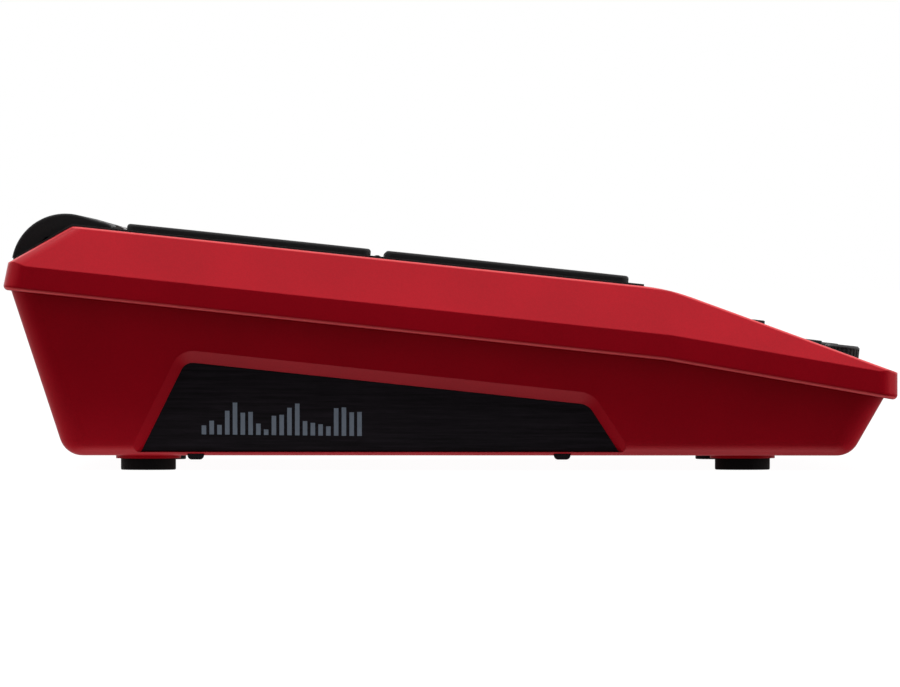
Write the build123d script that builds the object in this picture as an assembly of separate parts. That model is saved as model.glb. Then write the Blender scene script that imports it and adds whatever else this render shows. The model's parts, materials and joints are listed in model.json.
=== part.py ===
"""Nine-pad electronic drum pad: casing, pads, controls, sockets and the boards inside.

Millimetres. X runs across the instrument, -Y is the player's side, +Z is up.
The origin is on the surface it stands on, below the middle of the casing.
"""

from build123d import *
from math import atan2, cos, pi, radians, sin, sqrt, tan
import os

# --- casing ---------------------------------------------------------------
HALF_WIDTH = 182.0
FRONT_Y = -166.2            # front face of the rim
REAR_Y = 166.45             # foot of the leaning rear face of the rim
REAR_TOP_Y = 164.4
REAR_TOP_Z = 77.4
CREST_Y, CREST_Z = 140.8, 91.0      # highest line of the red cover
BREAK_Y, BREAK_Z = -81.2, 67.7      # the pad deck meets the control slope here
FRONT_TOP_Z = 36.5
BREAK_RADIUS = 76.0
KINK_Y = -80.0              # the side rim bends down in front of this line
RIM_SLOPE, FRONT_RIM_SLOPE = 0.1067, 0.1725
RIM_TOP_Z = 59.2            # top of the side rim at Y = 0
RIM_BOTTOM_Z = 49.6         # bottom of the side rim at Y = 0
FRONT_RIM_TOP_Z = 64.6      # the same two lines for the front part, extended to Y = 0
FRONT_RIM_BOTTOM_Z = RIM_BOTTOM_Z + (FRONT_RIM_SLOPE - RIM_SLOPE) * -KINK_Y
CHAMFER_ANGLE = 46.0        # degrees from horizontal, along both sides
COVER_WALL = 2.4
LIP = 2.2                   # turned-in lip under the rim
CORNER_RADIUS = 7.5
COVER_EDGE_RADIUS = 1.8

CASE_BOTTOM_Z = 5.5
CASE_TOP_X = 178.5          # half width of the lower case where it meets the rim, at Y = 0
SIDE_DRAFT = 18.0
REAR_WALL_Y, REAR_WALL_Z, REAR_LEAN = 163.2, 66.5, 17.8
FRONT_WALL_Y, FRONT_WALL_Z, FRONT_LEAN = -161.0, 26.4, 29.3
CASE_WALL = 2.6
CASE_CORNER_RADIUS = 10.0
CASE_EDGE_RADIUS = 8.8

# --- side inlays ------------------------------------------------------------
INLAY_OUTLINE = [(115.3, 6.9), (98.6, 40.5), (-51.3, 24.6), (-62.8, 6.9)]
INLAY_RADII = [0.0, 4.6, 6.0, 0.0]
INLAY_DEPTH = 3.0           # how far the inlay's face lies below the side wall
INLAY_THICK = 1.6
BEVEL_WIDTHS = [3.9, 4.7, 3.9, 0.0]     # rear, top, front and bottom border
TAB_YS = (94.9, -41.7)
TAB_WIDTH = 6.2
TAB_BOTTOM_Z = 4.0

# --- pad deck ---------------------------------------------------------------
DECK_HALF_WIDTH = 162.7
DECK_FRONT_Y = -72.2
DECK_REAR_Y = 162.8
DECK_PROUD, DECK_BELOW = 0.75, -1.5
OPENING_GAP = 0.3
COLUMN_PITCH = 108.0
PAD_WIDTH, PAD_LENGTH = 103.0, 91.4
ROW_CENTRES = (75.66, -21.05)       # middle and front row, along the deck's slope
PAD_TOP = 3.3
PAD_CORNER = 3.0
PAD_ROUND = 1.2
PAD_GAP = 0.35
PAD_TRAVEL = 0.7
FLANGE = 1.5                # the pad's flange reaches this far under the deck
FLANGE_TOP, FLANGE_BOTTOM = -1.65, -3.1
CHASSIS_TOP, CHASSIS_THICK = -6.0, 1.2
CUSHION_THICK = 2.0
CUSHION_SIZE = (72.0, 64.0)
SHOULDER_CENTRE = (143.5, 75.6)
SHOULDER_RADIUS = 20.15
SHOULDER_SKIRT = 3.4
SHOULDER_SLOPE = 16.0
SHOULDER_FRONT_Y = 126.3
SHOULDER_BASE_Z = 87.0
SHOULDER_SKIRT_Z = 79.2
SHOULDER_REST_Y = 150.5      # the flat base of the pad ends here
SHELF_FRONT_Y, SHELF_REAR_Y = 128.0, 149.0
MIDDLE_BAR_HALF_WIDTH, REAR_BAR_HALF_WIDTH = 30.0, 42.0
MIDDLE_BAR_DEPTH = 2.4
MIDDLE_BAR_HEIGHTS = (0.85, 1.2, 0.85)      # front edge, crown and rear edge of the lens
REAR_BAR_SPAN = (122.2, 125.8)
REAR_BAR_HEIGHTS = (0.9, 1.75, 2.05)
SENSOR_RADIUS, SENSOR_THICK = 13.5, 0.6
SHELF_SENSOR_RADIUS, SHELF_SENSOR_Y = 10.0, 138.5
SHELF_CUSHION_THICK = 2.4
RAIL_WIDTH, RAIL_REAR, RAIL_TOP = 2.0, 132.0, -2.0  # cover's rail beside the deck opening
LUG_SIZE, LUG_TOP = 10.0, -4.1                      # lugs on it that the case screws pull on

# --- control panel ------------------------------------------------------------
PANEL_HALF_WIDTH = 158.0
PANEL_SPAN = (-82.1, -10.2)         # along the control slope, from the break line
PANEL_TOP, PANEL_THICK = -1.5, 2.0
PANEL_CORNER = 4.0
PANEL_LEDGE = 3.0           # what the panel and the display window rest on all round
TRAY_THICK = 1.7
DISPLAY_X = (-86.0, 10.0)
DISPLAY_SPAN = (-48.0, -14.0)
LENS_THICK = 1.5
BOARD_TOP, BOARD_THICK = -32.7, 1.6
BOARD_XS, BOARD_SPANS = (-157.0, 157.0), (-156.0, -89.0)
KNOB_XS = (-146.0, -118.0, 60.0, 88.0)
KNOB_SPAN = -149.6
KNOB_RADIUS, KNOB_TOP, KNOB_HEIGHT = 6.0, -14.05, 9.0
KNOB_RIBS = 24
SHAFT_RADIUS = 3.0
ROW_A = (-119.1, -8.05)             # front edge and top of the upper row of buttons
ROW_B = (-143.8, -13.37)            # the same for the lower row
BUTTON_DEPTH, BUTTON_GAP, BUTTON_TRAVEL = 6.5, 0.25, 0.5
BUTTONS = {
    "effect_button_1": (-148.0, 11.0, ROW_A),
    "effect_button_2": (-134.5, 11.0, ROW_A),
    "effect_button_3": (-121.0, 11.0, ROW_A),
    "effect_button_4": (-107.5, 11.0, ROW_A),
    "menu_button": (32.0, 14.0, ROW_A),
    "exit_button": (52.0, 14.0, ROW_A),
    "enter_button": (72.0, 14.0, ROW_A),
    "function_button_1": (-70.0, 18.0, ROW_B),
    "function_button_2": (-38.0, 18.0, ROW_B),
    "function_button_3": (-6.0, 18.0, ROW_B),
    "minus_button": (118.0, 14.0, ROW_B),
    "plus_button": (140.0, 14.0, ROW_B),
}
SWITCH_TOP, SWITCH_BODY_TOP, SWITCH_SIZE, PLUNGER_RADIUS = -27.7, -28.4, 6.0, 1.7
STEM_SIZE, CAP_HEIGHT = 4.0, 7.0

# --- rear bay and sockets -------------------------------------------------------
BAY_X = (-148.0, 142.0)
BAY_Z = (20.0, 54.0)
PLATE_Y = (143.6, 146.0)
BAY_WALL = 2.4
SOCKET_Z = 38.0
JACK_XS = (8.0, 28.0, 48.0, 68.0, 88.0, 108.0, 128.0)
JACK_BORE, JACK_DEPTH = 3.2, 26.0
COLLAR_RADIUS, NUT_RADIUS, COLLAR_Y = 5.2, 7.0, 148.4
DIN_XS = (-40.0, -16.0)
DIN_RADIUS = 8.4
USB_B_X, USB_A_X, INLET_X, ROCKER_X = -84.0, -63.0, -106.0, -128.0
ROCKER_TILT = 8.0
ROCKER_PIVOT_Y = 144.4
JACK_BOARD_Z = 24.4

# --- underside --------------------------------------------------------------------
FOOT_X, FOOT_YS = 141.0, (112.8, -109.5)
FOOT_RADIUS, FOOT_HEIGHT, FOOT_BOSS_RADIUS = 10.3, 4.3, 12.15
INSERT_PITCH, INSERT_CENTRE_Y = 100.0, 10.0
INSERT_RADIUS, INSERT_BORE, INSERT_LENGTH = 4.0, 2.5, 10.0
POST_X, POST_YS = 152.0, (-62.0, 20.0, 92.0)
POST_RADIUS = 4.5
SCREW_RADIUS, SCREW_HEAD_RADIUS, SCREW_HEAD = 1.5, 2.8, 2.2
SCREW_LENGTH = 7.2
SCREW_POCKET_RADIUS, SCREW_HOLE_RADIUS = 3.1, 1.55
SCREW_SEAT_DROP = 4.5           # the head's seat lies this far below the top of the post
DRIVE_RADIUS = 1.2              # recess in a screw head
INSERT_BOSS_RADIUS, INSERT_ROOF = 6.5, 1.5
FLOOR_Z = 7.0                   # posts and bosses start here, inside the case floor
BOARD_POST_RADIUS = 3.5
BOARD_SCREW_RADIUS, BOARD_SCREW_LENGTH = 1.25, 7.5
BOARD_SCREW_HEAD_RADIUS, BOARD_SCREW_HEAD = 2.6, 1.8
MAIN_BOARD_Z = 20.0
MAIN_BOARD_XS, MAIN_BOARD_YS = (-95.0, 95.0), (-70.0, 80.0)
JACK_BOARD_XS, JACK_BOARD_YS = (-145.0, 146.0), (112.0, 141.0)
MAIN_POSTS = [(-88.0, -62.0), (88.0, -62.0), (-88.0, 72.0), (88.0, 72.0)]
JACK_POSTS = [(-140.0, 117.0), (-52.0, 117.0), (-3.0, 117.0), (141.0, 130.0)]
PANEL_POSTS = [(-100.0, -93.0), (100.0, -93.0), (-90.0, -140.0), (104.0, -140.0)]

BIG = 900.0
THROUGH = 9.0               # cutters reach this far either side of a thin sheet
DECK_TILT = atan2(CREST_Z - BREAK_Z, CREST_Y - BREAK_Y)
PANEL_TILT = atan2(BREAK_Z - FRONT_TOP_Z, BREAK_Y - FRONT_Y)
CREST_FALL = (CREST_Z - REAR_TOP_Z) / (REAR_TOP_Y - CREST_Y)
DECK_Z = CREST_Z - CREST_Y * tan(DECK_TILT)
COLUMNS = (-COLUMN_PITCH, 0.0, COLUMN_PITCH)


def sloping_plane(y, z, tilt):
    """Plane through (0, y, z) whose second axis climbs towards the rear."""
    return Plane(origin=(0, y, z), x_dir=(1, 0, 0), z_dir=(0, -sin(tilt), cos(tilt)))


DECK = sloping_plane(0, DECK_Z, DECK_TILT)
PANEL = sloping_plane(BREAK_Y, BREAK_Z, PANEL_TILT)
LEVEL = sloping_plane(0, 0, 0)


def block(plane, xs, spans, heights):
    """Box given by its low and high limits along the plane's three axes."""
    middles = [(low + high) / 2 for low, high in (xs, spans, heights)]
    sizes = [high - low for low, high in (xs, spans, heights)]
    return plane.location * Pos(*middles) * Box(*sizes)


def rod(plane, x, span, radius, heights):
    """Round bar along the plane's normal."""
    low, high = heights
    return plane.location * Pos(x, span, (low + high) / 2) * Cylinder(radius, high - low)


def bar_y(x, z, radius, ys):
    """Round bar along Y."""
    low, high = ys
    return Pos(x, (low + high) / 2, z) * Rot(90, 0, 0) * Cylinder(radius, high - low)


def slab(plane, xs, spans, heights, radius):
    """Flat plate with rounded corners."""
    width, length = xs[1] - xs[0], spans[1] - spans[0]
    outline = RectangleRounded(width, length, radius)
    middle = Pos((xs[0] + xs[1]) / 2, (spans[0] + spans[1]) / 2, heights[0])
    return plane.location * middle * extrude(outline, heights[1] - heights[0])


def rounded_face(corners):
    """Closed face from (u, v, radius) corners, with an arc wherever the radius isn't zero."""
    count = len(corners)
    starts, middles, stops = [], [], []
    for i, (u, v, radius) in enumerate(corners):
        point = Vector(u, v)
        back = (Vector(*corners[i - 1][:2]) - point).normalized()
        ahead = (Vector(*corners[(i + 1) % count][:2]) - point).normalized()
        half = radians(back.get_angle(ahead)) / 2
        reach = radius / tan(half)
        inward = (back + ahead).normalized()
        starts.append(point + back * reach)
        stops.append(point + ahead * reach)
        middles.append(point + inward * (radius / sin(half) - radius))
    edges = []
    for i in range(count):
        if corners[i][2] > 0:
            edges.append(ThreePointArc(starts[i], middles[i], stops[i]))
        edges.append(Line(stops[i], starts[(i + 1) % count]))
    return make_face(edges)


def inset(points, distances):
    """Move each side of a polygon inwards by its own distance; side i starts at point i."""
    count = len(points)
    area = sum(
        points[i][0] * points[(i + 1) % count][1] - points[(i + 1) % count][0] * points[i][1]
        for i in range(count)
    )
    turn = 1 if area > 0 else -1
    lines = []
    for i, distance in enumerate(distances):
        (u0, v0), (u1, v1) = points[i], points[(i + 1) % count]
        length = sqrt((u1 - u0) ** 2 + (v1 - v0) ** 2)
        along = ((u1 - u0) / length, (v1 - v0) / length)
        inward = (-along[1] * turn, along[0] * turn)
        lines.append(((u0 + inward[0] * distance, v0 + inward[1] * distance), along))
    moved = []
    for i in range(count):
        (p, a), (q, b) = lines[i - 1], lines[i]
        share = ((q[0] - p[0]) * b[1] - (q[1] - p[1]) * b[0]) / (a[0] * b[1] - a[1] * b[0])
        moved.append((p[0] + a[0] * share, p[1] + a[1] * share))
    return moved


def prism(face, low, high):
    """Extrude a face drawn in Y and Z across the instrument, from X low to X high."""
    return Plane.YZ.location * Pos(0, 0, low) * extrude(face, high - low)


def polygon_prism(points, low, high):
    return prism(rounded_face([(y, z, 0) for y, z in points]), low, high)


def half_space(point, normal):
    """Everything behind a plane, as one large box."""
    return Plane(origin=point, z_dir=normal).location * Pos(0, 0, -BIG / 2) * Box(BIG, BIG, BIG)


def both_sides(shape):
    return shape + mirror(shape, Plane.YZ)


def outward(along, up):
    normal = along.cross(up).normalized()
    return normal if normal.X > 0 else -normal


def deck_z(y, height=0.0):
    """Z of a point that lies height above the deck plane."""
    return DECK_Z + y * tan(DECK_TILT) + height / cos(DECK_TILT)


def crest_z(y, height=0.0):
    """Z of a point that lies height above the rear chamfer."""
    fall = atan2(CREST_FALL, 1)
    return CREST_Z - (y - CREST_Y) * CREST_FALL + height / cos(fall)


def crest_meeting(height):
    """Y where the deck plane and the rear chamfer meet, both raised by height."""
    rise = crest_z(0, height) - deck_z(0, height)
    return rise / (tan(DECK_TILT) + CREST_FALL)


def edge_ends(edge):
    return edge.position_at(0), edge.position_at(1)


def fillet_where(shape, test, radius):
    return fillet([edge for edge in shape.edges() if test(edge)], radius)


# --- casing forms --------------------------------------------------------------
COVER_PROFILE = [
    (REAR_Y, RIM_BOTTOM_Z + RIM_SLOPE * REAR_Y),
    (REAR_TOP_Y, REAR_TOP_Z),
    (CREST_Y, CREST_Z),
    (BREAK_Y, BREAK_Z),
    (FRONT_Y, FRONT_TOP_Z),
    (FRONT_Y, FRONT_RIM_BOTTOM_Z + FRONT_RIM_SLOPE * FRONT_Y),
    (KINK_Y, RIM_BOTTOM_Z + RIM_SLOPE * KINK_Y),
]


def cover_form(wall, lip):
    """Outer shape of the top cover, or the hollow inside it when wall and lip are given."""
    points = inset(COVER_PROFILE, [wall] * 5 + [lip] * 2)
    corners = [(y, z, BREAK_RADIUS - wall if i == 3 else 0) for i, (y, z) in enumerate(points)]
    form = prism(rounded_face(corners), -HALF_WIDTH + wall, HALF_WIDTH - wall)
    angle = radians(CHAMFER_ANGLE)
    for height, slope in ((RIM_TOP_Z, RIM_SLOPE), (FRONT_RIM_TOP_Z, FRONT_RIM_SLOPE)):
        normal = outward(Vector(0, 1, slope), Vector(-cos(angle), 0, sin(angle)))
        side = half_space(Vector(HALF_WIDTH, 0, height) - normal * wall, normal)
        form = form & side & mirror(side, Plane.YZ)
    return form


def is_rim_corner(edge):
    a, b = edge_ends(edge)
    return abs(a.Z - b.Z) > 5 and abs(a.Y - b.Y) < 3 and min(abs(a.X), abs(b.X)) > 180


def is_rear_ridge(edge):
    a, b = edge_ends(edge)
    return min(a.Y, b.Y) > 138 and 8 < abs(a.X - b.X) < 30 and min(a.Z, b.Z) > 70


def is_deck_edge(edge):
    a, b = edge_ends(edge)
    for point in (a, b, edge.position_at(0.5)):
        slope_z = BREAK_Z + (point.Y - BREAK_Y) * tan(PANEL_TILT)
        on_top = abs(point.Z - min(deck_z(point.Y), slope_z)) < 0.9
        if not on_top or abs(point.X) < 150 or point.Y > CREST_Y - 0.1:
            return False
    return abs(a.Y - b.Y) > 4


def is_rim_foot(edge):
    a, b = edge_ends(edge)
    middle = edge.position_at(0.5)
    rim = min(
        RIM_BOTTOM_Z + RIM_SLOPE * middle.Y,
        FRONT_RIM_BOTTOM_Z + FRONT_RIM_SLOPE * middle.Y,
    )
    across = abs(a.Y - KINK_Y) < 1 and abs(b.Y - KINK_Y) < 1
    return abs(middle.Z - rim) < 0.7 and (a - b).length > 2 and not across


SIDE_ALONG = Vector(0, 1, RIM_SLOPE)
SIDE_NORMAL = outward(SIDE_ALONG, Vector(sin(radians(SIDE_DRAFT)), 0, cos(radians(SIDE_DRAFT))))
SIDE_POINT = Vector(CASE_TOP_X, 0, RIM_BOTTOM_Z)
SIDE = Plane(origin=SIDE_POINT, x_dir=SIDE_ALONG, z_dir=SIDE_NORMAL)


def rear_wall_y(z):
    return REAR_WALL_Y - tan(radians(REAR_LEAN)) * (REAR_WALL_Z - z)


def front_wall_y(z):
    return FRONT_WALL_Y + tan(radians(FRONT_LEAN)) * (FRONT_WALL_Z - z)


def case_form(wall, lift, base=CASE_BOTTOM_Z):
    """Lower case with drafted walls, inset by wall and raised above the rim by lift."""
    lean = tan(radians(REAR_LEAN))
    rear_y = (rear_wall_y(0) + lean * RIM_BOTTOM_Z) / (1 - lean * RIM_SLOPE)
    lean = tan(radians(FRONT_LEAN))
    front_y = (front_wall_y(0) - lean * FRONT_RIM_BOTTOM_Z) / (1 + lean * FRONT_RIM_SLOPE)
    points = [
        (rear_y, RIM_BOTTOM_Z + RIM_SLOPE * rear_y),
        (rear_wall_y(base), base),
        (front_wall_y(base), base),
        (front_y, FRONT_RIM_BOTTOM_Z + FRONT_RIM_SLOPE * front_y),
        (KINK_Y, RIM_BOTTOM_Z + RIM_SLOPE * KINK_Y),
    ]
    moved = inset(points, [wall, wall, wall, -lift, -lift])
    form = polygon_prism(moved, -HALF_WIDTH - 10, HALF_WIDTH + 10)
    side = half_space(SIDE_POINT - SIDE_NORMAL * wall, SIDE_NORMAL)
    form = form & side & mirror(side, Plane.YZ)
    floor = base + wall

    def is_corner(edge):
        a, b = edge_ends(edge)
        return abs(a.Z - b.Z) > 10 and min(abs(a.Y), abs(b.Y)) > 120

    def is_base(edge):
        return all(abs(point.Z - floor) < 0.01 for point in edge_ends(edge))

    form = fillet_where(form, is_corner, CASE_CORNER_RADIUS - wall)
    return fillet_where(form, is_base, CASE_EDGE_RADIUS - wall)


# --- side inlay -----------------------------------------------------------------
def side_point(y, z):
    """Point (y, z) of the side view, in the right-hand side wall's own plane."""
    x = CASE_TOP_X + tan(radians(SIDE_DRAFT)) * (z - RIM_BOTTOM_Z - RIM_SLOPE * y)
    local = SIDE.to_local_coords(Vector(x, y, z))
    return local.X, local.Y


def inlay_section(depth):
    """Bevelled recess at one depth below the side wall, true to the outline seen from the side."""
    share = 1 - depth / INLAY_DEPTH
    slip = Vector(-depth / SIDE_NORMAL.X, 0, 0)
    along, up = slip.dot(SIDE.x_dir), slip.dot(SIDE.y_dir)
    outline = [side_point(y, z) for y, z in INLAY_OUTLINE]
    outline = [(u + along, v + up) for u, v in outline]
    points = inset(outline, [-width * share for width in BEVEL_WIDTHS])
    corners = [
        (u, v, radius + 3.6 * share if radius else 0)
        for (u, v), radius in zip(points, INLAY_RADII)
    ]
    return SIDE.location * Pos(0, 0, -depth) * rounded_face(corners)


def side_slab(top, bottom):
    """Layer between two depths below the right-hand side wall."""
    outer = half_space(SIDE_POINT - SIDE_NORMAL * top, SIDE_NORMAL)
    inner = half_space(SIDE_POINT - SIDE_NORMAL * bottom, SIDE_NORMAL)
    return outer - inner


def inlay_solid():
    """Right-hand inlay: a flat plate with two tabs that hang below the case."""
    bottom = INLAY_DEPTH + INLAY_THICK
    plate = prism(rounded_face([(*p, r) for p, r in zip(INLAY_OUTLINE, INLAY_RADII)]), 0, BIG)
    half = TAB_WIDTH / 2
    for y in TAB_YS:
        tab = [(y - half, 9.0, 0), (y - half, TAB_BOTTOM_Z, 1.6)]
        tab += [(y + half, TAB_BOTTOM_Z, 1.6), (y + half, 9.0, 0)]
        plate += prism(rounded_face(tab), 0, BIG)
    return plate & side_slab(INLAY_DEPTH, bottom)


def inlay_recess():
    """What the right-hand side of the case loses: the bevelled recess and the inlay's seat."""
    bevel = loft([inlay_section(INLAY_DEPTH), inlay_section(-INLAY_DEPTH)], ruled=True)
    return bevel + inlay_solid()


def inlay_backing():
    """Thicker wall behind the recess."""
    backing = [(y, z) for y, z in inset(INLAY_OUTLINE, [-7.0, -7.5, -7.0, 0])]
    return polygon_prism(backing, 0, BIG) & side_slab(0, INLAY_DEPTH + INLAY_THICK + CASE_WALL)


# --- casing -----------------------------------------------------------------------
def post_top_z(y):
    return deck_z(y, CHASSIS_TOP - CHASSIS_THICK)


def make_top_cover():
    cover = cover_form(0, 0)
    cover = fillet_where(cover, is_rim_corner, CORNER_RADIUS)
    cover = fillet_where(cover, is_rear_ridge, CORNER_RADIUS)
    cover = fillet_where(cover, is_deck_edge, COVER_EDGE_RADIUS)
    cover = fillet_where(cover, is_rim_foot, COVER_EDGE_RADIUS)
    cover -= cover_form(COVER_WALL, LIP)
    cover -= case_form(CASE_WALL, LIP + 1.5)
    hole = DECK_HALF_WIDTH + OPENING_GAP
    front, rear = DECK_FRONT_Y - OPENING_GAP, DECK_REAR_Y + OPENING_GAP
    half = LUG_SIZE / 2
    rail = block(DECK, (hole, hole + RAIL_WIDTH), (front + RAIL_WIDTH, RAIL_REAR),
                 (CHASSIS_TOP, RAIL_TOP))
    for y in POST_YS:
        rail += block(DECK, (POST_X - half, hole + 1), (y - half, y + half),
                      (CHASSIS_TOP, LUG_TOP))
    ledge = PANEL_LEDGE
    tray_spans = (PANEL_SPAN[0] - ledge, PANEL_SPAN[1] + ledge)
    tray_xs = (-PANEL_HALF_WIDTH - ledge, PANEL_HALF_WIDTH + ledge)
    seat = PANEL_TOP - PANEL_THICK
    cover += both_sides(rail)
    cover += block(PANEL, tray_xs, tray_spans, (seat - TRAY_THICK, RAIL_TOP))
    cover -= block(LEVEL, (-hole, hole), (front, rear), (deck_z(front, -2.6), BIG))
    inner = (-PANEL_HALF_WIDTH + ledge, PANEL_HALF_WIDTH - ledge)
    inner_spans = (PANEL_SPAN[0] + ledge, PANEL_SPAN[1] - ledge)
    cover -= block(PANEL, inner, inner_spans, (-THROUGH, THROUGH))
    gap = OPENING_GAP
    recess_xs = (-PANEL_HALF_WIDTH - gap, PANEL_HALF_WIDTH + gap)
    recess_spans = (PANEL_SPAN[0] - gap, PANEL_SPAN[1] + gap)
    cover -= slab(PANEL, recess_xs, recess_spans, (seat, THROUGH), PANEL_CORNER + gap)
    for y in POST_YS:
        top = deck_z(y, CHASSIS_TOP)
        cover -= both_sides(rod(LEVEL, POST_X, y, SCREW_RADIUS, (top - 2, top + 4)))
    return cover


def panel_post_span(y):
    """Distance along the deck's slope for a post under the control board."""
    return (y + BOARD_TOP * sin(DECK_TILT)) / cos(DECK_TILT)


def make_bottom_case():
    outer = case_form(0, 0)
    case = outer - case_form(CASE_WALL, 20)
    case += both_sides(inlay_backing()) & outer
    bay_xs = (BAY_X[0] - BAY_WALL, BAY_X[1] + BAY_WALL)
    bay_zs = (BAY_Z[0] - BAY_WALL, BAY_Z[1] + BAY_WALL)
    case += block(LEVEL, bay_xs, (PLATE_Y[0], BIG), bay_zs) & outer
    case -= block(LEVEL, BAY_X, (PLATE_Y[0] - 2, BIG), BAY_Z)
    under_chassis = half_space((0, 0, deck_z(0, CHASSIS_TOP - CHASSIS_THICK)), DECK.z_dir)
    for y in POST_YS:
        post = rod(LEVEL, POST_X, y, POST_RADIUS, (FLOOR_Z, CREST_Z)) & under_chassis
        case += both_sides(post)
        seat = post_top_z(y) - SCREW_SEAT_DROP
        case -= both_sides(rod(LEVEL, POST_X, y, SCREW_POCKET_RADIUS, (0, seat)))
        case -= both_sides(rod(LEVEL, POST_X, y, SCREW_HOLE_RADIUS, (0, CREST_Z)))
    for y in FOOT_YS:
        case += both_sides(rod(LEVEL, FOOT_X, y, FOOT_BOSS_RADIUS, (FOOT_HEIGHT, FLOOR_Z + 1)))
    for x, y in insert_places():
        top = CASE_BOTTOM_Z + INSERT_LENGTH
        case += rod(LEVEL, x, y, INSERT_BOSS_RADIUS, (CASE_BOTTOM_Z, top + INSERT_ROOF))
        case -= rod(LEVEL, x, y, INSERT_RADIUS, (0, top))
    for x, y in MAIN_POSTS:
        case += rod(LEVEL, x, y, BOARD_POST_RADIUS, (FLOOR_Z, MAIN_BOARD_Z))
    for x, y in JACK_POSTS:
        case += rod(LEVEL, x, y, BOARD_POST_RADIUS, (FLOOR_Z, JACK_BOARD_Z))
    under_board = half_space((0, 0, deck_z(0, BOARD_TOP - BOARD_THICK)), DECK.z_dir)
    for x, y in PANEL_POSTS:
        case += rod(LEVEL, x, y, BOARD_POST_RADIUS, (FLOOR_Z, BREAK_Z)) & under_board
    case -= make_board_screws()
    return case - both_sides(inlay_recess())


def insert_places():
    half = INSERT_PITCH / 2
    return [(x, INSERT_CENTRE_Y + y) for x in (-half, half) for y in (-half, half)]


def make_mount_inserts():
    low, high = CASE_BOTTOM_Z, CASE_BOTTOM_Z + INSERT_LENGTH
    inserts = []
    for x, y in insert_places():
        inserts.append(rod(LEVEL, x, y, INSERT_RADIUS, (low, high))
                       - rod(LEVEL, x, y, INSERT_BORE, (low - 1, high + 1)))
    return Compound(children=inserts)


def make_rubber_feet():
    feet = []
    for x in (-FOOT_X, FOOT_X):
        for y in FOOT_YS:
            foot = rod(LEVEL, x, y, FOOT_RADIUS, (0, FOOT_HEIGHT))
            foot = fillet(foot.edges().group_by(Axis.Z)[0], 0.4)
            feet.append(foot)
    return Compound(children=feet)


# --- fasteners ------------------------------------------------------------------------
def make_case_screws():
    screws = []
    for x in (-POST_X, POST_X):
        for y in POST_YS:
            seat = post_top_z(y) - SCREW_SEAT_DROP
            head = rod(LEVEL, x, y, SCREW_HEAD_RADIUS, (seat - SCREW_HEAD, seat))
            head -= rod(LEVEL, x, y, DRIVE_RADIUS, (seat - SCREW_HEAD - 1, seat - 1))
            screws.append(head + rod(LEVEL, x, y, SCREW_RADIUS, (seat, seat + SCREW_LENGTH)))
    return Compound(children=screws)


def board_screw(plane, x, span, top):
    head = rod(plane, x, span, BOARD_SCREW_HEAD_RADIUS, (top, top + BOARD_SCREW_HEAD))
    head -= rod(plane, x, span, DRIVE_RADIUS, (top + 1, top + BOARD_SCREW_HEAD + 1))
    return head + rod(plane, x, span, BOARD_SCREW_RADIUS, (top - BOARD_SCREW_LENGTH, top))


def make_board_screws():
    screws = [board_screw(LEVEL, x, y, MAIN_BOARD_Z + BOARD_THICK) for x, y in MAIN_POSTS]
    screws += [board_screw(LEVEL, x, y, JACK_BOARD_Z + BOARD_THICK) for x, y in JACK_POSTS]
    for x, y in PANEL_POSTS:
        screws.append(board_screw(DECK, x, panel_post_span(y), BOARD_TOP))
    return Compound(children=screws)


# --- pads -------------------------------------------------------------------------------
def rim_strip(top, bottom, front, rear):
    """Side outline of a sheet that follows the deck and the rear chamfer."""
    return [
        (front, deck_z(front, top)),
        (crest_meeting(top), deck_z(crest_meeting(top), top)),
        (rear, crest_z(rear, top)),
        (rear, crest_z(rear, bottom)),
        (crest_meeting(bottom), deck_z(crest_meeting(bottom), bottom)),
        (front, deck_z(front, bottom)),
    ]


def light_bar_places():
    """X limits, slope limits and lens heights of each bar: three per gap between the rows."""
    middle = (ROW_CENTRES[0] + ROW_CENTRES[1]) / 2
    middle_span = (middle - MIDDLE_BAR_DEPTH / 2, middle + MIDDLE_BAR_DEPTH / 2)
    places = []
    for x in COLUMNS:
        for half, span, heights in ((MIDDLE_BAR_HALF_WIDTH, middle_span, MIDDLE_BAR_HEIGHTS),
                                    (REAR_BAR_HALF_WIDTH, REAR_BAR_SPAN, REAR_BAR_HEIGHTS)):
            places.append(((x - half, x + half), span, heights))
    return places


def make_pad_deck():
    width = DECK_HALF_WIDTH
    outline = rim_strip(DECK_PROUD, DECK_BELOW, DECK_FRONT_Y, DECK_REAR_Y)
    deck = polygon_prism(outline, -width, width)
    skirt = block(DECK, (width - 0.9, width), (-70, 118), (CHASSIS_TOP, 0))
    for y in POST_YS:
        skirt -= block(DECK, (100, 200), (y - 5.4, y + 5.4), (CHASSIS_TOP - 1, -3.8))
    deck += both_sides(skirt)
    half_x, half_y = PAD_WIDTH / 2 + PAD_GAP, PAD_LENGTH / 2 + PAD_GAP
    for x in COLUMNS:
        for span in ROW_CENTRES:
            xs, spans = (x - half_x, x + half_x), (span - half_y, span + half_y)
            deck -= slab(DECK, xs, spans, (-THROUGH, THROUGH), PAD_CORNER + PAD_GAP)
        window = (SHOULDER_FRONT_Y - PAD_GAP, BIG)
        deck -= block(LEVEL, (x - half_x, x + half_x), window, (BREAK_Z, BIG))
    for xs, spans, _ in light_bar_places():
        deck -= block(DECK, xs, spans, (-THROUGH, THROUGH))
    return deck


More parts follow.
